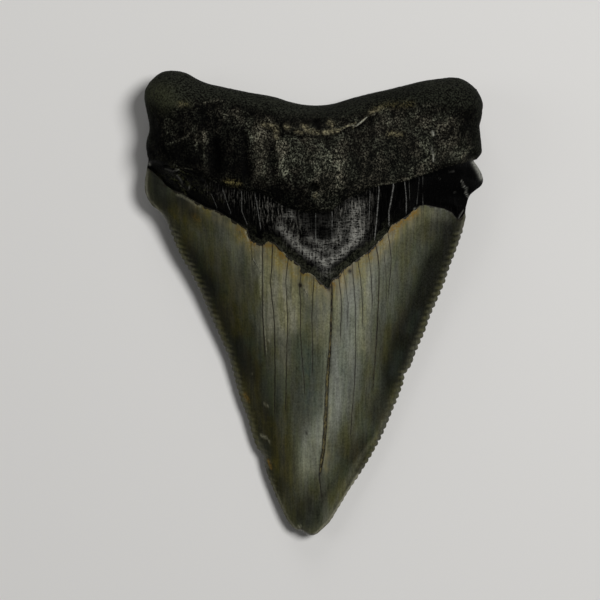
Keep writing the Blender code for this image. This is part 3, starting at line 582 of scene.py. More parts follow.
def smooth_line(points, step=CURVE_STEP):
    """A centripetal Catmull-Rom curve through the points, as a dense polyline."""
    p = np.array(points, float)
    p = np.vstack([2 * p[0] - p[1], p, 2 * p[-1] - p[-2]])
    line = []
    for a, b, c, d in zip(p[:-3], p[1:-2], p[2:-1], p[3:]):
        t1 = math.sqrt(np.linalg.norm(b - a))
        t2 = t1 + math.sqrt(np.linalg.norm(c - b))
        t3 = t2 + math.sqrt(np.linalg.norm(d - c))
        count = max(2, int(np.linalg.norm(c - b) / step))
        t = np.linspace(t1, t2, count, endpoint=False)[:, None]
        ab = a + (b - a) * t / t1
        bc = b + (c - b) * (t - t1) / (t2 - t1)
        cd = c + (d - c) * (t - t2) / (t3 - t2)
        abc = ab + (bc - ab) * t / t2
        bcd = bc + (cd - bc) * (t - t1) / (t3 - t1)
        line.append(abc + (bcd - abc) * (t - t1) / (t2 - t1))
    return np.vstack([*line, p[-2]])


def lengths_along(line):
    """The distance along a polyline from its start to each of its points."""
    return np.concatenate([[0.0], np.cumsum(np.linalg.norm(np.diff(line, axis=0), axis=1))])


def at_length(line, lengths):
    """The points at these distances along a polyline."""
    along = lengths_along(line)
    return np.column_stack([np.interp(lengths, along, line[:, i]) for i in (0, 1)])


def curve_value(x, knots):
    """A smooth curve through (x, value) knots, level beyond its ends."""
    kx, ky = np.array(knots, float).T
    slope = np.gradient(ky, kx)
    x = np.clip(x, kx[0], kx[-1])
    i = np.clip(np.searchsorted(kx, x) - 1, 0, len(kx) - 2)
    h = kx[i + 1] - kx[i]
    t = (x - kx[i]) / h
    along = (2 * t**3 - 3 * t**2 + 1) * ky[i] + (3 * t**2 - 2 * t**3) * ky[i + 1]
    return along + h * ((t**3 - 2 * t**2 + t) * slope[i] + (t**3 - t**2) * slope[i + 1])


def smoothstep(x, low, high):
    t = np.clip((x - low) / (high - low), 0, 1)
    return t * t * (3 - 2 * t)


def bell(x):
    """1 where x is 0, and close to 0 where it is more than 2."""
    return np.exp(-(x**2))


def form(x, y, centre_x, centre_y, radius_x, radius_y, height):
    """A round hill, or a hollow where the height is negative."""
    return height * bell((x - centre_x) / radius_x) * bell((y - centre_y) / radius_y)


def rounding(distance, radius, power=2.0):
    """0 at the outline, rising round a superellipse to 1 at the radius."""
    t = 1 - np.clip(distance / radius, 0, 1)
    return (1 - t**power) ** (1 / power)


def distance_to(line, x, y):
    """The distance from each point to a dense polyline, by way of its nearest vertex."""
    tree = kdtree.KDTree(len(line))
    for i, (px, py) in enumerate(line):
        tree.insert((px, py, 0), i)
    tree.balance()
    p = np.column_stack([x.ravel(), y.ravel()])
    nearest = np.array([tree.find((px, py, 0))[1] for px, py in p])
    best = np.linalg.norm(p - line[nearest], axis=1)
    for shift in (-1, 0):
        i = np.clip(nearest + shift, 0, len(line) - 2)
        start, along = line[i], line[i + 1] - line[i]
        t = np.clip(((p - start) * along).sum(1) / np.maximum((along**2).sum(1), HAIR**2), 0, 1)
        best = np.minimum(best, np.linalg.norm(p - start - t[:, None] * along, axis=1))
    return best.reshape(x.shape)


def above(line, x, y):
    """How far each point is above a line that runs across the tooth, measured along Y."""
    return y - np.interp(x, *np.array(line).T)


def across(line, x, y):
    """The distance of each point from a line that runs across the tooth, negative below it."""
    return np.copysign(distance_to(smooth_line(line, FINE_CURVE_STEP), x, y), above(line, x, y))


def softened(line):
    """A line that runs across the tooth, without its small bends. Its ends stay."""
    x = np.linspace(line[0][0], line[-1][0], SOFT_POINTS)
    reach = np.minimum(SOFTENING, np.minimum(x - x[0], x[-1] - x))
    around = [np.interp(x + reach * s, *np.array(line).T) for s in np.linspace(-1, 1, SOFT_SAMPLES)]
    return np.column_stack([x, np.mean(around, axis=0)])


def blade_arch(x, y):
    """The blade's section: 1 along its middle, 0 at its smooth sides."""
    left, right = curve_value(y, BLADE_LEFT), curve_value(y, BLADE_RIGHT)
    u = np.clip((2 * x - left - right) / (right - left), -1, 1)
    wave = (1 + np.cos(math.pi * u)) / 2
    return BLADE_PARABOLA * (1 - u**2) + (1 - BLADE_PARABOLA) * wave


def lingual_height(x, y, distance):
    """The upper face: the blade, then the dark band that climbs to the root's ledge, then the root."""
    edge = curve_value(y, EDGE_HEIGHT)
    over_enamel, over_root = above(ENAMEL_EDGE, x, y), above(ROOT_EDGE, x, y)
    climb = np.clip(over_enamel / np.maximum(over_enamel - over_root, LEAST_BAND), 0, 1)
    arch = (curve_value(y, BLADE_HEIGHT) - edge) * blade_arch(x, y)
    blade = edge + arch * rounding(distance, BLADE_ROUNDING)
    bulk = ROOT_BASE + sum(form(x, y, *f) for f in ROOT_FORMS)
    root = edge + (bulk - edge) * rounding(distance, ROOT_ROUNDING, ROOT_ROUNDING_POWER)
    z = blade + (root - blade) * climb
    step = smoothstep(over_enamel, 0, ENAMEL_STEP_WIDTH) * (1 - smoothstep(climb, ENAMEL_STEP_FADES, 1))
    ledge = climb * (1 - smoothstep(over_root, ROOT_LEDGE_START, ROOT_LEDGE_END))
    sunk = ENAMEL_STEP * step + ROOT_LEDGE * ledge - form(x, y, *NECK_RECESS)
    return z - sunk * rounding(distance, NECK_ROUNDING)


def labial_height(x, y, distance):
    """The lower face: flat where it touches the surface, under the blade and under both lobes."""
    edge = curve_value(y, EDGE_HEIGHT)
    arch = (edge - curve_value(y, BLADE_HEIGHT_UNDER)) * blade_arch(x, y) ** BLADE_POWER_UNDER
    blade = edge - arch * rounding(distance, BLADE_ROUNDING)
    bulk = ROOT_BASE_UNDER + form(x, y, *ROOT_HOLLOW_UNDER)
    root = edge - (edge - bulk) * rounding(distance, ROOT_ROUNDING_UNDER)
    climb = smoothstep(above(ENAMEL_EDGE_UNDER, x, y), *TURNS_TO_ROOT_UNDER)
    return np.maximum(blade + (root - blade) * climb, 0.0)


def steps_above_blade():
    """How the rows are spread over the shoulder, the dark band, the root and its top, from 0 to 1 in
    each. They are closest just above the enamel's edge, and at the top, where the surface turns down."""
    counts = (SHOULDER_ROWS, NECK_ROWS, ROOT_ROWS, LOBE_ROWS)
    shoulder, neck, root, lobe = (np.arange(1, count + 1) / count for count in counts)
    return [shoulder, neck**NECK_CROWDING, root, 1 - (1 - lobe) ** TOP_CROWDING]


def side_of_outline(blade, shoulder, neck, root, lobe, turn):
    """One side of the outline: the mesh's points on it, and the way out at each of them. The turn
    is 1 where the tooth is on the left of the line, and -1 where it is on the right."""
    line = smooth_line(blade + shoulder[1:] + neck[1:] + root[1:] + lobe[1:])
    along = lengths_along(line)
    last = [stretch[-1] for stretch in (blade, shoulder, neck, root, lobe)]
    ends = [along[np.linalg.norm(line - point, axis=1).argmin()] for point in last]
    lengths = [np.linspace(0, ends[0], BLADE_ROWS + 1)]
    for steps, low, high in zip(steps_above_blade(), ends, ends[1:]):
        lengths.append(low + (high - low) * steps)
    lengths = np.concatenate(lengths)
    ahead = at_length(line, lengths + DIRECTION_REACH) - at_length(line, lengths - DIRECTION_REACH)
    out = np.column_stack([ahead[:, 1], -ahead[:, 0]]) * turn
    return at_length(line, lengths), out / np.linalg.norm(out, axis=1, keepdims=True)


def section_levels():
    """The level of each row: 0 at the tip, 1 at the enamel's edge, then 2, 3 and 4 at the root's edge,
    its crest and its top."""
    below = np.linspace(0, 1, BLADE_ROWS + SHOULDER_ROWS + 1)
    return np.concatenate([below, *(i + 1 + steps for i, steps in enumerate(steps_above_blade()[1:]))])


def column_shares():
    """Where the columns lie, from 0 at the left side to 1 at the right, closest at both sides."""
    cell = np.arange(COLUMNS - 1) + 0.5
    width = np.minimum(1, np.minimum(cell, COLUMNS - 1 - cell) / FINE_COLUMNS)
    return np.concatenate([[0.0], np.cumsum(width) / width.sum()])


SHARE = column_shares()
ON_LEFT = SHARE < 0.5


def serration_wave(seed):
    """For each row, how far the serrations stand out: 0.5 at a point, -0.5 between two."""
    phase = np.arange(BLADE_ROWS + 1) / STEPS_PER_SERRATION
    fade = smoothstep(phase, *SERRATIONS_GROW)
    fade *= 1 - smoothstep(phase, SERRATIONS - SERRATIONS_THAT_FADE, SERRATIONS)
    size = 1 + SERRATION_SPREAD * np.random.default_rng(seed).uniform(-1, 1, SERRATIONS + 1)
    wave = (np.abs(np.sin(math.pi * phase)) - 0.5) * fade * size[phase.astype(int)]
    return np.concatenate([wave, np.zeros(SHOULDER_ROWS + NECK_ROWS + ROOT_ROWS + LOBE_ROWS)])


def across_row(start, end):
    """The x of each point of a row. A notch in the outline only moves the points near it."""
    low, high = curve_value(start[1], BLADE_LEFT), curve_value(end[1], BLADE_RIGHT)
    x = low + (high - low) * SHARE
    return x + (start[0] - low) * (1 - SHARE) ** NOTCH_POWER + (end[0] - high) * SHARE**NOTCH_POWER


def bend_of(key):
    """How far each point of a row that follows this line is above a straight row."""
    y = np.interp(across_row(key[0], key[-1]), *key.T)
    return y - key[0, 1] - (key[-1, 1] - key[0, 1]) * SHARE


def lay_out(keys, left, right):
    """The mesh's grid of (x, y) points. Each row joins its two ends on the outline, and is bent like
    the two key lines that it lies between, whose small bends only reach the rows near them. On the
    blade the bend leaves the edges alone, so that the rows cross them squarely."""
    soft = [bend_of(key if i in (0, 3, 4) else softened(key)) for i, key in enumerate(keys)]
    fine = [bend_of(key) - bend for key, bend in zip(keys, soft)]
    rows = []
    for level, start, end in zip(section_levels(), left, right):
        k = min(int(level), len(keys) - 2)
        bend = soft[k] + (soft[k + 1] - soft[k]) * (level - k)
        bend = bend * (4 * SHARE * (1 - SHARE)) ** max(BEND_POWER * level * (1 - level), 0)
        bend = bend + fine[k] * max(0, 1 - (level - k) / FINE_BEND_ABOVE)
        bend = bend + fine[k + 1] * max(0, 1 - (k + 1 - level) / FINE_BEND_BELOW)
        rows.append((across_row(start, end), start[1] + (end[1] - start[1]) * SHARE + bend))
    return np.array(rows).transpose(1, 0, 2)


def strokes(table, x, y):
    """The sum of soft strokes, each with a width, a height and points."""
    total = np.zeros(x.shape)
    for width, height, *points in table:
        gap = np.full(x.shape, np.inf)
        for a, b in zip(np.array(points), np.array(points)[1:]):
            along = b - a
            t = np.clip(((x - a[0]) * along[0] + (y - a[1]) * along[1]) / (along**2).sum(), 0, 1)
            gap = np.minimum(gap, (x - a[0] - t * along[0]) ** 2 + (y - a[1] - t * along[1]) ** 2)
        total += height * np.exp(-gap / width**2)
    return total


def nearest_line(lines, ends, sway, x, y):
    """The distance from the nearest of a row of upright lines, and its half width, which fades past
    its ends. The distance changes sign at each line, so that it has no false zero between two of them."""
    distance, width = np.full(x.shape, np.inf), np.zeros(x.shape)
    for i, (half, *points) in enumerate(lines):
        px, py = np.array(points)[::-1].T
        half = curve_value(y, half) if isinstance(half, tuple) else half
        bends = sum(size * np.sin(rate * y + shift * i) for rate, shift, size in SWAYS)
        gap = (x - np.interp(y, py, px) - sway * bends) * (-1) ** i
        open_here = smoothstep(y, py[0] - ends, py[0]) * (1 - smoothstep(y, py[-1], py[-1] + ends))
        nearer = np.abs(gap) < np.abs(distance)
        distance, width = np.where(nearer, gap, distance), np.where(nearer, half * open_here, width)
    return distance, width


def noise_at(points, scale, octaves, seed):
    """Fractal noise at each point, about -1 to 1. The scale is features per millimetre along X, Y and Z."""
    places = points.reshape(-1, 3) * scale + seed
    values = [noise.fractal(place, 1.0, 2.0, octaves) for place in places.tolist()]
    return np.array(values).reshape(points.shape[:-1])


def face_of(keys, height, side, left, right, outline):
    """One face's grid of points, their distances from the outline, and the ribs, to be painted lighter on
    their crests as a painted highlight. The side is 1 for the upper face and -1 for the lower."""
    x, y = lay_out(keys, left[0], right[0])
    distance = distance_to(outline, x, y)
    wave = np.where(ON_LEFT, *(serration_wave(seed)[:, None] for seed in SERRATION_SEEDS))
    # The serrations' ribs, painted lighter on their crests as a painted highlight
    painted_rib = wave * bell(distance / np.where(ON_LEFT, *PAINTED_RIB_REACH))
    wave = wave * np.where(ON_LEFT, LEFT_SERRATIONS, 1)
    rib = RIB_HEIGHT * wave * np.exp(-distance / RIB_REACH) * np.minimum(distance / SERRATION_REACH, 1)
    z = height(x, y, distance) + side * rib
    on_outline = np.zeros(x.shape, bool)
    on_outline[:, [0, -1]] = on_outline[[0, -1]] = True
    z[on_outline] = curve_value(y[on_outline], EDGE_HEIGHT)
    reach = SERRATION_HEIGHT * wave * np.exp(-distance / SERRATION_REACH)
    out = np.where(ON_LEFT[:, None], left[1][:, None], right[1][:, None])
    return np.dstack([x + reach * out[..., 0], y + reach * out[..., 1], z]), distance, painted_rib


def lingual_face(left, right, tip, top, outline):
    """The upper face with its cracks and low relief, and what is painted on it."""
    keys = [tip, np.array(ENAMEL_EDGE), np.array(ROOT_EDGE), np.array(ROOT_CREST), top]
    points, distance, rib = face_of(keys, lingual_height, 1, left, right, outline)
    x, y = points[..., 0], points[..., 1]
    crack, crack_width = nearest_line(CRACKS, CRACK_ENDS, CRACK_SWAY, x, y)
    streak, streak_width = nearest_line(STREAKS, STREAK_ENDS, 0.0, x, y)
    depth = CRACK_DEPTH + (WIDE_CRACK_DEPTH - CRACK_DEPTH) * smoothstep(crack_width, *WIDE_CRACKS)
    groove = bell(crack / np.maximum(crack_width, LEAST_GROOVE))
    groove *= np.minimum(crack_width / FULL_DEPTH_WIDTH, 1)
    ridge = np.minimum(streak_width / FULL_DEPTH_WIDTH, 1) * bell(streak / STREAK_REACH)
    hole = np.hypot(x - FORAMEN[0], y - FORAMEN[1]) / FORAMEN_RADIUS
    relief = strokes(RELIEF, x, y) - FORAMEN_DEPTH * bell(hole**2) - depth * groove + STREAK_HEIGHT * ridge
    points[..., 2] += relief * smoothstep(distance, *RELIEF_STARTS)

    painted = {}
    for name, table in PAINT.items():
        painted[name] = np.clip(strokes(table, x, y), 0, MOST_PAINT.get(name, 1))
    painted |= {"crack": crack, "crack_width": crack_width, "streak": streak, "streak_width": streak_width}
    painted |= {"over_enamel": across(ENAMEL_EDGE, x, y), "over_root": across(ROOT_EDGE, x, y)}
    # Painted shade inside the foramen
    painted["dark"] = np.maximum(painted["dark"], bell(hole))
    painted["smooth"] = np.maximum(painted["smooth"], smoothstep(above(CREST_LINE, x, y), *WORN_FROM))
    # A lighter middle and darker margins: partly the enamel's colour, partly painted shading where the
    # blade curves away from the light
    from_left, from_right = x - curve_value(y, BODY_LEFT), curve_value(y, BODY_RIGHT) - x
    painted["body"] = smoothstep(from_left, *BODY_LEFT_FADES) * smoothstep(from_right, *BODY_RIGHT_FADES)
    # The brightest line of the middle: partly a paler streak, partly a painted sheen
    off_glow = (x - curve_value(y, GLOW)) / curve_value(y, GLOW_WIDTH)
    painted["pale_line_and_sheen"] = bell(off_glow) * smoothstep(y, *GLOW_FADES)
    return points, painted | {"rib": rib, "rim": distance}


def labial_face(left, right, tip, top, outline):
    """The lower face. Only pale grains and the blade's lighter middle, partly painted shading, are painted
    on it.
    """
    keys = [tip, *map(np.array, (ENAMEL_EDGE_UNDER, ROOT_EDGE_UNDER, ROOT_CREST_UNDER)), top]
    points, distance, rib = face_of(keys, labial_height, -1, left, right, outline)
    x, y = points[..., 0], points[..., 1]
    painted = {name: np.zeros(x.shape) for name in (*PAINT, "crack_width", "streak_width", "pale_line_and_sheen")}
    painted |= {name: np.full(x.shape, FAR) for name in ("crack", "streak")}
    over_enamel = across(ENAMEL_EDGE_UNDER, x, y)
    painted |= {"over_enamel": over_enamel, "over_root": over_enamel, "rib": rib, "rim": distance}
    painted["chalk_and_highlight"] = np.clip(CHALK_UNDER + CHALK_VARIES * noise_at(points, *CHALK_NOISE), 0, 1)
    # Lighter where the arch is high: partly painted shading, as on the upper face
    painted["body"] = smoothstep(blade_arch(x, y), *BODY_UNDER)
    return points, painted


def number_points(shape, columns, start, outline=None):
    """The number of each grid point's vertex, or -1 where the mesh needs none: in other columns than
    these, but for the rows at the root's top, and in most rows of the blade away from its edges. The
    vertices on the outline may be another grid's."""
    row, column = np.indices(shape)
    whole = (row % STEPS_PER_INNER_ROW == 0) | (row > BLADE_ROWS)
    at_edge = (column < EDGE_COLUMNS) | (column >= shape[1] - EDGE_COLUMNS)
    used = np.isin(column, columns) & (whole | at_edge)
    if outline is not None:
        used |= row > shape[0] - 1 - FULL_ROWS_AT_TOP
        shared = (row == 0) | (row == shape[0] - 1) | (column == 0) | (column == shape[1] - 1)
        used &= ~shared
    numbers = np.full(shape, -1)
    numbers[used] = start + np.arange(used.sum())
    if outline is not None:
        numbers[shared] = outline[shared]
    return numbers, used


def faces_between(numbers, columns, flip, kinds):
    """One face for each cell between the grid's vertices, with every vertex on the cell's sides, and
    its kind by row."""
    faces, kind_of = [], []
    for a, b in zip(columns, columns[1:]):
        rows = np.flatnonzero((numbers[:, a] >= 0) & (numbers[:, b] >= 0))
        for low, high in zip(rows, rows[1:]):
            ring = [*numbers[low, a : b + 1], *numbers[low + 1 : high, b]]
            ring += [*numbers[high, a : b + 1][::-1], *numbers[low + 1 : high, a][::-1]]
            ring = [int(v) for v in ring if v >= 0]
            faces.append(ring[::-1] if flip else ring)
            kind_of.append(kinds[low])
    return faces, kind_of


def weather(points, normals, painted):
    """Wears the surface inwards: grain, lumps and hollows on the root, wrinkles on the dark band, and
    faint flutes along the blade."""
    on_root = smoothstep(painted["over_root"], *ROOT_WEAR_STARTS)
    on_band = (1 - on_root) * smoothstep(painted["over_enamel"], *BAND_WEAR_STARTS)
    rough = on_root * (1 - SMOOTHNESS * painted["smooth"]) + on_band * painted["crust"]
    kinds = (GRAIN, LUMPS, HOLLOWS, FLUTES, WRINKLES)
    grain, lumps, hollows, flutes, wrinkles = (1 - noise_at(points, *kind) for kind in kinds)
    depth = rough * (GRAIN_DEPTH * grain + LUMP_DEPTH * lumps + HOLLOW_DEPTH * hollows)
    depth += np.maximum(on_root - rough, 0) * (WORN_LUMP_DEPTH * lumps + WORN_GRAIN_DEPTH * grain)
    depth *= RIM_WEAR + (1 - RIM_WEAR) * smoothstep(painted["rim"], *RIM_WEAR_FADES)
    fine = on_band * WRINKLE_DEPTH * wrinkles + (1 - on_root - on_band) * FLUTE_DEPTH * flutes
    depth += fine * smoothstep(painted["rim"], *FINE_WEAR_STARTS)
    # Kept for painting: the pale grains are dimmed where the surface sinks, a painted shade in hollows and
    # pits
    painted["grain"], painted["hollows"] = 1 - grain / 2, 1 - hollows / 2
    return points - normals * np.maximum(depth, 0)[:, None]


def normals_of(points, faces):
    mesh = bpy.data.meshes.new("draft")
    mesh.from_pydata(points, [], faces)
    normals = np.empty(len(points) * 3, np.float32)
    mesh.vertex_normals.foreach_get("vector", normals)
    bpy.data.meshes.remove(mesh)
    return normals.reshape(-1, 3)


def fitted(points, low, high):
    """The points, moved a hair so that they fill exactly this box."""
    least, most = points.min(0), points.max(0)
    return low + (points - least) * (high - low) / (most - least)


def tooth_mesh(low, high):
    """The whole surface: two faces that share their points on the outline, in the box from low to high."""
    left = side_of_outline(LEFT_BLADE, LEFT_SHOULDER, LEFT_NECK, LEFT_ROOT, LEFT_LOBE, -1)
    right = side_of_outline(RIGHT_BLADE, RIGHT_SHOULDER, RIGHT_NECK, RIGHT_ROOT, RIGHT_LOBE, 1)
    tip, top = smooth_line(TIP), smooth_line(ROOT_TOP)
    outline = np.vstack([left[0], top, right[0][::-1], tip[::-1]])
    upper, upper_paint = lingual_face(left, right, tip, top, outline)
    lower, lower_paint = labial_face(left, right, tip, top, outline)

    edge = np.arange(0, EDGE_COLUMNS, EDGE_STEP_UNDER)
    inner = np.arange(EDGE_COLUMNS, COLUMNS - EDGE_COLUMNS, COLUMN_STEP_UNDER)
    columns, columns_under = np.arange(COLUMNS), np.concatenate([edge, inner, COLUMNS - 1 - edge[::-1]])
    numbers, used = number_points(upper.shape[:2], columns, 0)
    numbers_under, used_under = number_points(upper.shape[:2], columns_under, used.sum(), numbers)
    levels = section_levels() + HAIR
    kinds = np.minimum(levels, ROOT).astype(int)
    kinds_under = np.where(levels < 1, ENAMEL, ROOT)
    faces, kind_of = faces_between(numbers, columns, False, kinds)
    faces_under, kind_of_under = faces_between(numbers_under, columns_under, True, kinds_under)
    faces += faces_under

    points = np.vstack([upper[used], lower[used_under]])
    painted = {}
    for name in upper_paint:
        painted[name] = np.concatenate([upper_paint[name][used], lower_paint[name][used_under]])
    points = weather(points, normals_of(points, faces), painted)
    mesh = bpy.data.meshes.new("tooth_surface")
    mesh.from_pydata(fitted(points, low, high) * MM, [], faces)
    mesh.polygons.foreach_set("material_index", np.array(kind_of + kind_of_under, np.int32))
    for name, values in painted.items():
        mesh.attributes.new(name, "FLOAT", "POINT").data.foreach_set("value", values.astype(np.float32))
    mesh.shade_smooth()
    return mesh


def srgb(red, green, blue):
    """A colour as it looks on a screen, from 0 to 255, as the shaders take it."""
    shares = (red / 255, green / 255, blue / 255)
    linear = [c / 12.92 if c <= 0.04 else ((c + 0.055) / 1.055) ** 2.4 for c in shares]
    return (*linear, 1.0)


class Painter:
    """Puts together the nodes of one material. A text as an input stands for what is painted under that
    name, and colours are red, green and blue from 0 to 255."""

    def __init__(self, name, specular):
        self.material = bpy.data.materials.new(name)
        self.material.use_nodes = True
        self.tree = self.material.node_tree
        self.shader = self.tree.nodes["Principled BSDF"]
        self.shader.inputs["Specular IOR Level"].default_value = specular
        place = self.put("ShaderNodeTexCoord", {}).outputs["Object"]
        self.place = self.scaled(place, (1 / MM, 1 / MM, 1 / MM))
        self.colour = None

    def put(self, kind, inputs, **settings):
        """A new node. Each input is a value, the socket that feeds it, or the name of what is painted."""
        node = self.tree.nodes.new(kind)
        for name, value in settings.items():
            setattr(node, name, value)
        for name, value in inputs.items():
            if isinstance(value, str):
                value = self.put("ShaderNodeAttribute", {}, attribute_name=value).outputs["Fac"]
            if isinstance(value, bpy.types.NodeSocket):
                self.tree.links.new(value, node.inputs[name])
            else:
                node.inputs[name].default_value = value
        return node

    def scaled(self, vector, scale):
        return self.put("ShaderNodeVectorMath", {0: vector, 1: scale}, operation="MULTIPLY").outputs[0]

    def math(self, operation, a, b=0.0, clamp=False):
        return self.put("ShaderNodeMath", {0: a, 1: b}, operation=operation, use_clamp=clamp).outputs[0]

    def times(self, *factors):
        return functools.reduce(lambda a, b: self.math("MULTIPLY", a, b), factors)

    def plus(self, *terms):
        return functools.reduce(lambda a, b: self.math("ADD", a, b), terms)

    def ramp(self, value, low, high, start=0.0, end=1.0):
        """Goes smoothly from start to end as the value goes from low to high."""
        inputs = {"Value": value, "From Min": low, "From Max": high, "To Min": start, "To Max": end}
        return self.put("ShaderNodeMapRange", inputs, interpolation_type="SMOOTHSTEP").outputs["Result"]

    def noise(self, scale, detail=3.0, roughness=0.5, distortion=0.0):
        """Noise whose features have this many to a millimetre along X, Y and Z."""
        inputs = {"Vector": self.scaled(self.place, scale), "Scale": 1.0, "Detail": detail}
        inputs |= {"Roughness": roughness, "Distortion": distortion}
        return self.put("ShaderNodeTexNoise", inputs).outputs["Fac"]

    def cells(self, scale):
        """The distance to the middle of the nearest of scattered cells, this many to a millimetre."""
        inputs = {"Vector": self.scaled(self.place, scale), "Scale": 1.0}
        return self.put("ShaderNodeTexVoronoi", inputs).outputs["Distance"]

    def line(self, name, more=0.0, soft=LINE_SOFTNESS):
        """1 along the middle of painted lines, 0 off them. They are widened by more, or narrowed where
        it is negative."""
        width = name + "_width"
        wider = self.plus(width, self.times(self.math("GREATER_THAN", width, LEAST_LINE), more))
        inside = self.math("SUBTRACT", wider, self.math("ABSOLUTE", name))
        return self.math("DIVIDE", inside, soft, clamp=True)

    def mix(self, share, *colours):
        """The first colour where the share is 0 or less, and the second where it is 1 or more."""
        first, second = (srgb(*colour) if isinstance(colour, tuple) else colour for colour in colours)
        return self.put("ShaderNodeMix", {0: share, 6: first, 7: second}, data_type="RGBA").outputs[2]

    def coat(self, colour, *factors):
        """Lays another colour over what there is, as strongly as the product of the factors says."""
        self.colour = self.mix(self.times(*factors), self.colour, colour)

    def finish(self, roughness, height, depth):
        """The material with this height map, whose white is this many millimetres above its black."""
        inputs = {"Height": height, "Distance": depth * MM, "Strength": 1.0}
        bump = self.put("ShaderNodeBump", inputs).outputs["Normal"]
        for name, socket in {"Base Color": self.colour, "Roughness": roughness, "Normal": bump}.items():
            self.tree.links.new(socket, self.shader.inputs[name])
        return self.material


def enamel():
    """Olive enamel with dark margins and a pale middle, partly painted shading, a painted sheen and painted
    highlights on the serrations and the cutting edge, stains below the dark band, fine lines and cracks.
    """
    paint = Painter("enamel", 0.28)
    clouds = paint.noise((0.3, 0.16, 0.3), 4, 0.6)
    patches = paint.noise((1.1, 0.7, 1.1), 4, 0.65)
    lines = paint.noise((3.6, 0.12, 1.0), 4, 0.7)
    streaks = paint.noise((1.1, 0.06, 0.6), 3, 0.6)
    threads = paint.noise((0.7, 4.5, 1.0), 3, 0.6)
    speckle = paint.noise((4.2, 3.4, 4.0), 3, 0.65)
    beads = paint.noise((3.0, 1.7, 2.0), 3, 0.6)
    broken = paint.ramp(patches, 0.35, 0.65, 0.55, 1.2)
    below = paint.times("over_enamel", -1.0)

    # Darker margins and a lighter middle: partly the enamel's colour, partly painted shading where the
    # blade curves away
    cloudy = paint.ramp(clouds, 0.38, 0.62)
    margin = paint.mix(cloudy, (41, 38, 18), (33, 38, 23))
    middle = paint.mix(cloudy, (68, 68, 46), (70, 73, 58))
    body = paint.plus("body", paint.ramp(clouds, 0.3, 0.7, -0.12, 0.12))
    paint.colour = paint.mix(body, margin, middle)
    # The brightest line: a paler streak with a painted sheen over it
    paint.coat((114, 117, 104), "pale_line_and_sheen", paint.ramp(patches, 0.3, 0.7, 0.75, 1.1))
    # Cream places, partly a painted sheen
    paint.coat((122, 120, 95), "cream_and_sheen", broken)
    paint.coat((17, 18, 9), "shade", paint.ramp(patches, 0.3, 0.7, 0.85, 1.05))
    paint.coat((52, 61, 54), "blue", broken)
    paint.coat((63, 59, 29), "yellow", broken)
    paint.coat((20, 22, 7), "green", broken)
    stain = paint.mix(paint.ramp(speckle, 0.4, 0.6), (134, 126, 92), (104, 90, 46))
    paint.coat(stain, "stain", paint.ramp(patches, 0.32, 0.6, 0.25, 0.95))
    beside = paint.times(paint.ramp(below, 0.55, 0.15), paint.ramp(patches, 0.38, 0.56, 0.1, 0.9))
    paint.coat((104, 86, 40), "stain", beside)
    # The serrations' ribs near the rim: lighter crests, a painted highlight
    rim_highlight = paint.times(paint.ramp("rim", 1.5, 0.2), paint.ramp("rib", -0.1, 0.42, 0.12, 1.0))
    paint.coat((76, 74, 52), rim_highlight, paint.ramp(patches, 0.35, 0.65, 0.6, 1.2))
    # A pale line along the cutting edge: partly the thin edge's colour, partly a painted highlight
    paint.coat((78, 77, 62), paint.ramp("rim", 0.6, 0.12), broken)

    shine = paint.plus(paint.ramp(lines, 0.3, 0.7, -0.24, 0.24), paint.ramp(speckle, 0.3, 0.7, -0.2, 0.2))
    shine = paint.plus(shine, paint.ramp(threads, 0.3, 0.7, -0.04, 0.04))
    shine = paint.plus(shine, paint.ramp(streaks, 0.35, 0.65, -0.12, 0.12), 1.0)
    varied = {"Color": paint.colour, "Value": shine}
    varied["Hue"] = paint.ramp(streaks, 0.35, 0.65, 0.508, 0.497)
    varied["Saturation"] = paint.ramp(paint.noise((0.8, 0.1, 0.8)), 0.35, 0.65, 0.75, 1.15)
    paint.colour = paint.put("ShaderNodeHueSaturation", varied).outputs["Color"]

    paint.coat((113, 87, 28), "orange", paint.ramp(speckle, 0.36, 0.6, 0.2, 1.1))
    # Pale marks; along the tip's edges they are a painted highlight
    paint.coat((150, 148, 124), "pale", paint.ramp(speckle, 0.36, 0.56, 0.35, 1.0))
    paint.coat((22, 17, 10), "spot")
    ragged = paint.plus(below, paint.ramp(patches, 0.35, 0.65, 0.12, -0.3))
    paint.coat((26, 23, 12), paint.ramp(ragged, 0.1, 0.0))
    paint.coat((40, 34, 18), paint.line("crack", 0.1, 0.16), 0.22)
    crack = paint.line("crack")
    paint.coat((17, 14, 5), crack, paint.ramp(patches, 0.36, 0.56, 0.65, 1.0))
    filled = paint.line("crack", paint.ramp(beads, 0.35, 0.6, -0.17, -0.06), 0.1)
    filling = paint.mix(paint.ramp(beads, 0.42, 0.62), (56, 51, 28), (94, 86, 52))
    paint.coat(filling, filled, paint.ramp(patches, 0.38, 0.5, 0.4, 1.0))
    matt = paint.plus(paint.ramp(speckle, 0.3, 0.7, 0.28, 0.42), paint.ramp(below, 0.3, 0.0, 0.0, 0.3))
    height = paint.plus(paint.times(lines, 0.3), paint.times(speckle, 0.5))
    return paint.finish(paint.plus(matt, paint.times(crack, 0.4)), height, 0.03)


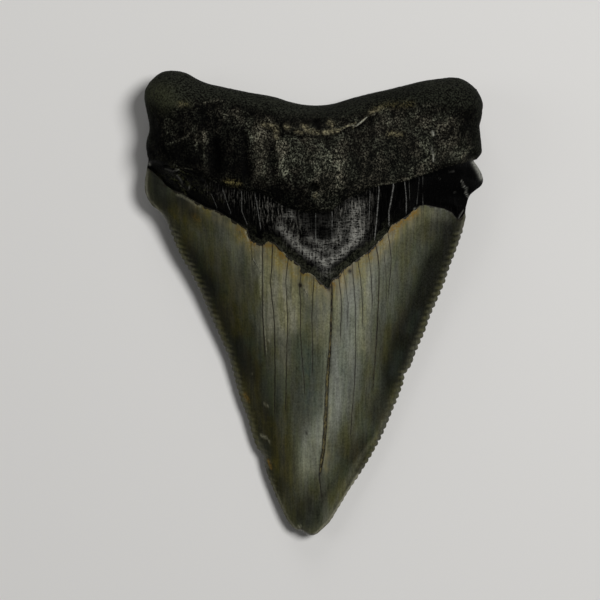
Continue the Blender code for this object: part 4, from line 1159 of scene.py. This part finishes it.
def dark_band():
    """The near-black band: pale fibres and lines, a chalky V, and a mottled strip beside the enamel."""
    paint = Painter("dark_band", 0.03)
    lines = paint.noise((5.0, 0.5, 1.0), 4, 0.65, 0.35)
    bars = paint.noise((1.2, 5.0, 1.0), 3, 0.6, 0.5)
    speckle = paint.noise((3.8, 3.4, 3.4), 3, 0.65)
    patches = paint.noise((1.0, 0.8, 1.0), 3, 0.6)
    mottled = paint.plus(paint.times(speckle, 0.6), paint.times(patches, 0.4))

    paint.colour = paint.mix(paint.ramp(lines, 0.5, 0.75), (2, 2, 2), (18, 17, 16))
    beside = paint.plus("over_enamel", paint.ramp(patches, 0.35, 0.65, -0.35, 0.35))
    strip = paint.mix(paint.ramp(mottled, 0.42, 0.6), (8, 9, 6), (46, 47, 37))
    paint.coat(strip, paint.ramp(beside, 1.25, 0.8), "edge_band")
    paint.coat((58, 59, 40), "crust", paint.ramp(mottled, 0.47, 0.6))
    woven = paint.plus(paint.times(lines, 0.32), paint.times(bars, 0.38), paint.times(speckle, 0.3))
    chalky = paint.times("scratch", paint.ramp(woven, 0.42, 0.6))
    paint.coat((142, 141, 134), chalky)
    fibres = paint.times(paint.ramp(lines, 0.49, 0.63), paint.ramp(speckle, 0.38, 0.6, 0.2, 1.0))
    paint.coat((124, 122, 114), "fringe", fibres)
    paint.coat((108, 108, 104), paint.line("streak"), paint.ramp(speckle, 0.38, 0.6, 0.3, 0.95))
    # Near-black where painted: painted shade in the recess under the right lobe, and a few darker places
    paint.coat(paint.mix(paint.ramp(speckle, 0.58, 0.74), (1, 1, 1), (22, 21, 18)), "dark")
    paint.coat((136, 136, 128), "pale", paint.ramp(mottled, 0.38, 0.52, 0.4, 1.0))
    paint.coat((88, 74, 40), "tan", 0.8)
    matt = paint.plus(paint.ramp(chalky, 0.0, 1.0, 0.25, 0.5), paint.times("dark", 0.4))
    matt = paint.plus(matt, paint.ramp("over_enamel", 0.5, 0.2, 0.0, 0.5))
    return paint.finish(matt, paint.plus(lines, paint.times(speckle, 0.6)), 0.07)


def root_bone():
    """Dark rough root with pale grains, lighter on its ridges and darker in its hollows as painted light
    and shade, tan nodules along its crest, and a smooth worn top with a painted highlight along its
    outline.
    """
    paint = Painter("root_bone", 0.01)
    speckle = paint.noise((4.4, 3.8, 4.4), 2, 0.6)
    fine = paint.noise((10.0, 8.5, 10.0), 2, 0.5)
    ridges = paint.noise((3.4, 1.3, 2.6), 3, 0.6, 1.2)
    granules = paint.math("SUBTRACT", 1.0, paint.cells((4.3, 3.8, 4.3)))
    patches = paint.noise((1.1, 0.7, 1.1), 4, 0.65, 0.6)
    shares = ((speckle, 0.4), (fine, 0.25), (granules, 0.17), (ridges, 0.18))
    grains = paint.plus(*(paint.times(*share) for share in shares))

    # Pale grains, heavier on the ridges as a painted highlight
    paint.colour = paint.mix(paint.times("chalk_and_highlight", 0.9), (3, 3, 3), (20, 20, 16))
    strength = paint.times(paint.plus("chalk_and_highlight", 0.09), paint.ramp(patches, 0.3, 0.66, 0.15, 1.5))
    # Fewer pale grains in the hollows and pits: painted shade where the surface sinks
    for name, low in (("hollows", 0.3), ("grain", 0.25)):
        strength = paint.times(strength, paint.ramp(name, low, 0.7, 0.5, 1.25))
    warmth = paint.ramp(paint.noise((0.5, 0.4, 0.5), 2, 0.5), 0.4, 0.6)
    chalky = paint.mix(warmth, (123, 125, 107), (126, 122, 105))
    paint.coat(chalky, paint.math("POWER", paint.ramp(grains, 0.42, 0.62), 1.6), strength)
    veil = paint.mix(paint.ramp(speckle, 0.38, 0.66), (4, 4, 3), (46, 48, 40))
    # A lighter line along the worn top's outline: a painted highlight where the edge catches the light
    rim_highlight = paint.times(paint.ramp("rim", 0.35, 0.05), paint.ramp(speckle, 0.35, 0.6, 0.2, 0.8))
    paint.coat(paint.mix(rim_highlight, veil, (44, 46, 40)), "smooth", 0.9)
    paint.coat((60, 62, 46), "green", paint.ramp(grains, 0.38, 0.62, 0.2, 0.95))
    paint.coat((100, 92, 56), "yellow", paint.ramp(grains, 0.45, 0.62))
    nodules = paint.ramp(paint.noise((2.1, 3.2, 2.1), 2, 0.6), 0.42, 0.58, 0.15, 1.0)
    paint.coat((158, 150, 118), "tan", paint.ramp(grains, 0.43, 0.54, 0.25, 1.15), nodules)
    # Near-black where painted: painted shade in the slots, hollows and foramen
    paint.coat((2, 2, 2), "dark", 0.95)
    paint.coat((150, 150, 138), "pale", paint.ramp(grains, 0.4, 0.54, 0.25, 1.0))
    return paint.finish(paint.ramp(grains, 0.4, 0.65, 0.5, 0.75), grains, 0.16)


def floor():
    """The plain pale surface that the tooth lies on."""
    bpy.ops.mesh.primitive_plane_add(size=FLOOR_SIZE, location=(0, 0, -FLOOR_GAP * MM))
    plane = bpy.context.object
    plane.name = "floor"
    paint = Painter("floor", FLOOR_SPECULAR)
    paint.shader.inputs["Base Color"].default_value = FLOOR_COLOUR
    paint.shader.inputs["Roughness"].default_value = FLOOR_ROUGHNESS
    plane.data.materials.append(paint.material)


def studio():
    """An even white surrounding, and soft round lights that are turned to the tooth."""
    scene = bpy.context.scene
    scene.world = bpy.data.worlds.new("studio")
    scene.world.use_nodes = True
    background = scene.world.node_tree.nodes["Background"]
    background.inputs["Color"].default_value = (1.0, 1.0, 1.0, 1.0)
    background.inputs["Strength"].default_value = SURROUNDING_LIGHT
    scene.view_settings.view_transform = "Standard"
    for name, (place, size, power) in LIGHTS.items():
        light = bpy.data.lights.new(name, "AREA")
        light.shape = "DISK"
        light.size = size
        light.energy = power
        lamp = bpy.data.objects.new(name, light)
        lamp.location = place
        lamp.rotation_euler = Vector(place).to_track_quat("Z", "Y").to_euler()
        scene.collection.objects.link(lamp)


def camera():
    """Looks straight down, as the photograph does, from so far that the tooth hardly narrows upwards."""
    data = bpy.data.cameras.new("camera")
    data.lens = LENS
    data.sensor_width = SENSOR
    data.clip_start, data.clip_end = CLIPPING
    eye = bpy.data.objects.new("camera", data)
    height = VIEW_WIDTH * LENS / SENSOR
    eye.location = Vector(VIEW_CENTRE) * MM + Vector((0, 0, height * MM))
    bpy.context.scene.collection.objects.link(eye)
    bpy.context.scene.camera = eye


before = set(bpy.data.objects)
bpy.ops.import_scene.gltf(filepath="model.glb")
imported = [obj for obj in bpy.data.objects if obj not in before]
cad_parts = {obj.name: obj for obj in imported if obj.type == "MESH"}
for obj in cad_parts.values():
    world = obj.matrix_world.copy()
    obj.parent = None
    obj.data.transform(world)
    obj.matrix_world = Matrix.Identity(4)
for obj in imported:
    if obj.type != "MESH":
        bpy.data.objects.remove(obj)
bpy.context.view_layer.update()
camera()
low, high = (np.array(corner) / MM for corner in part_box(CAD_NODE))
tooth = bpy.data.objects.new("tooth_surface", tooth_mesh(low, high))
bpy.context.scene.collection.objects.link(tooth)
for material in (enamel(), dark_band(), root_bone()):
    tooth.data.materials.append(material)
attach(tooth, "root")
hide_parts(CAD_NODE)
floor()
studio()
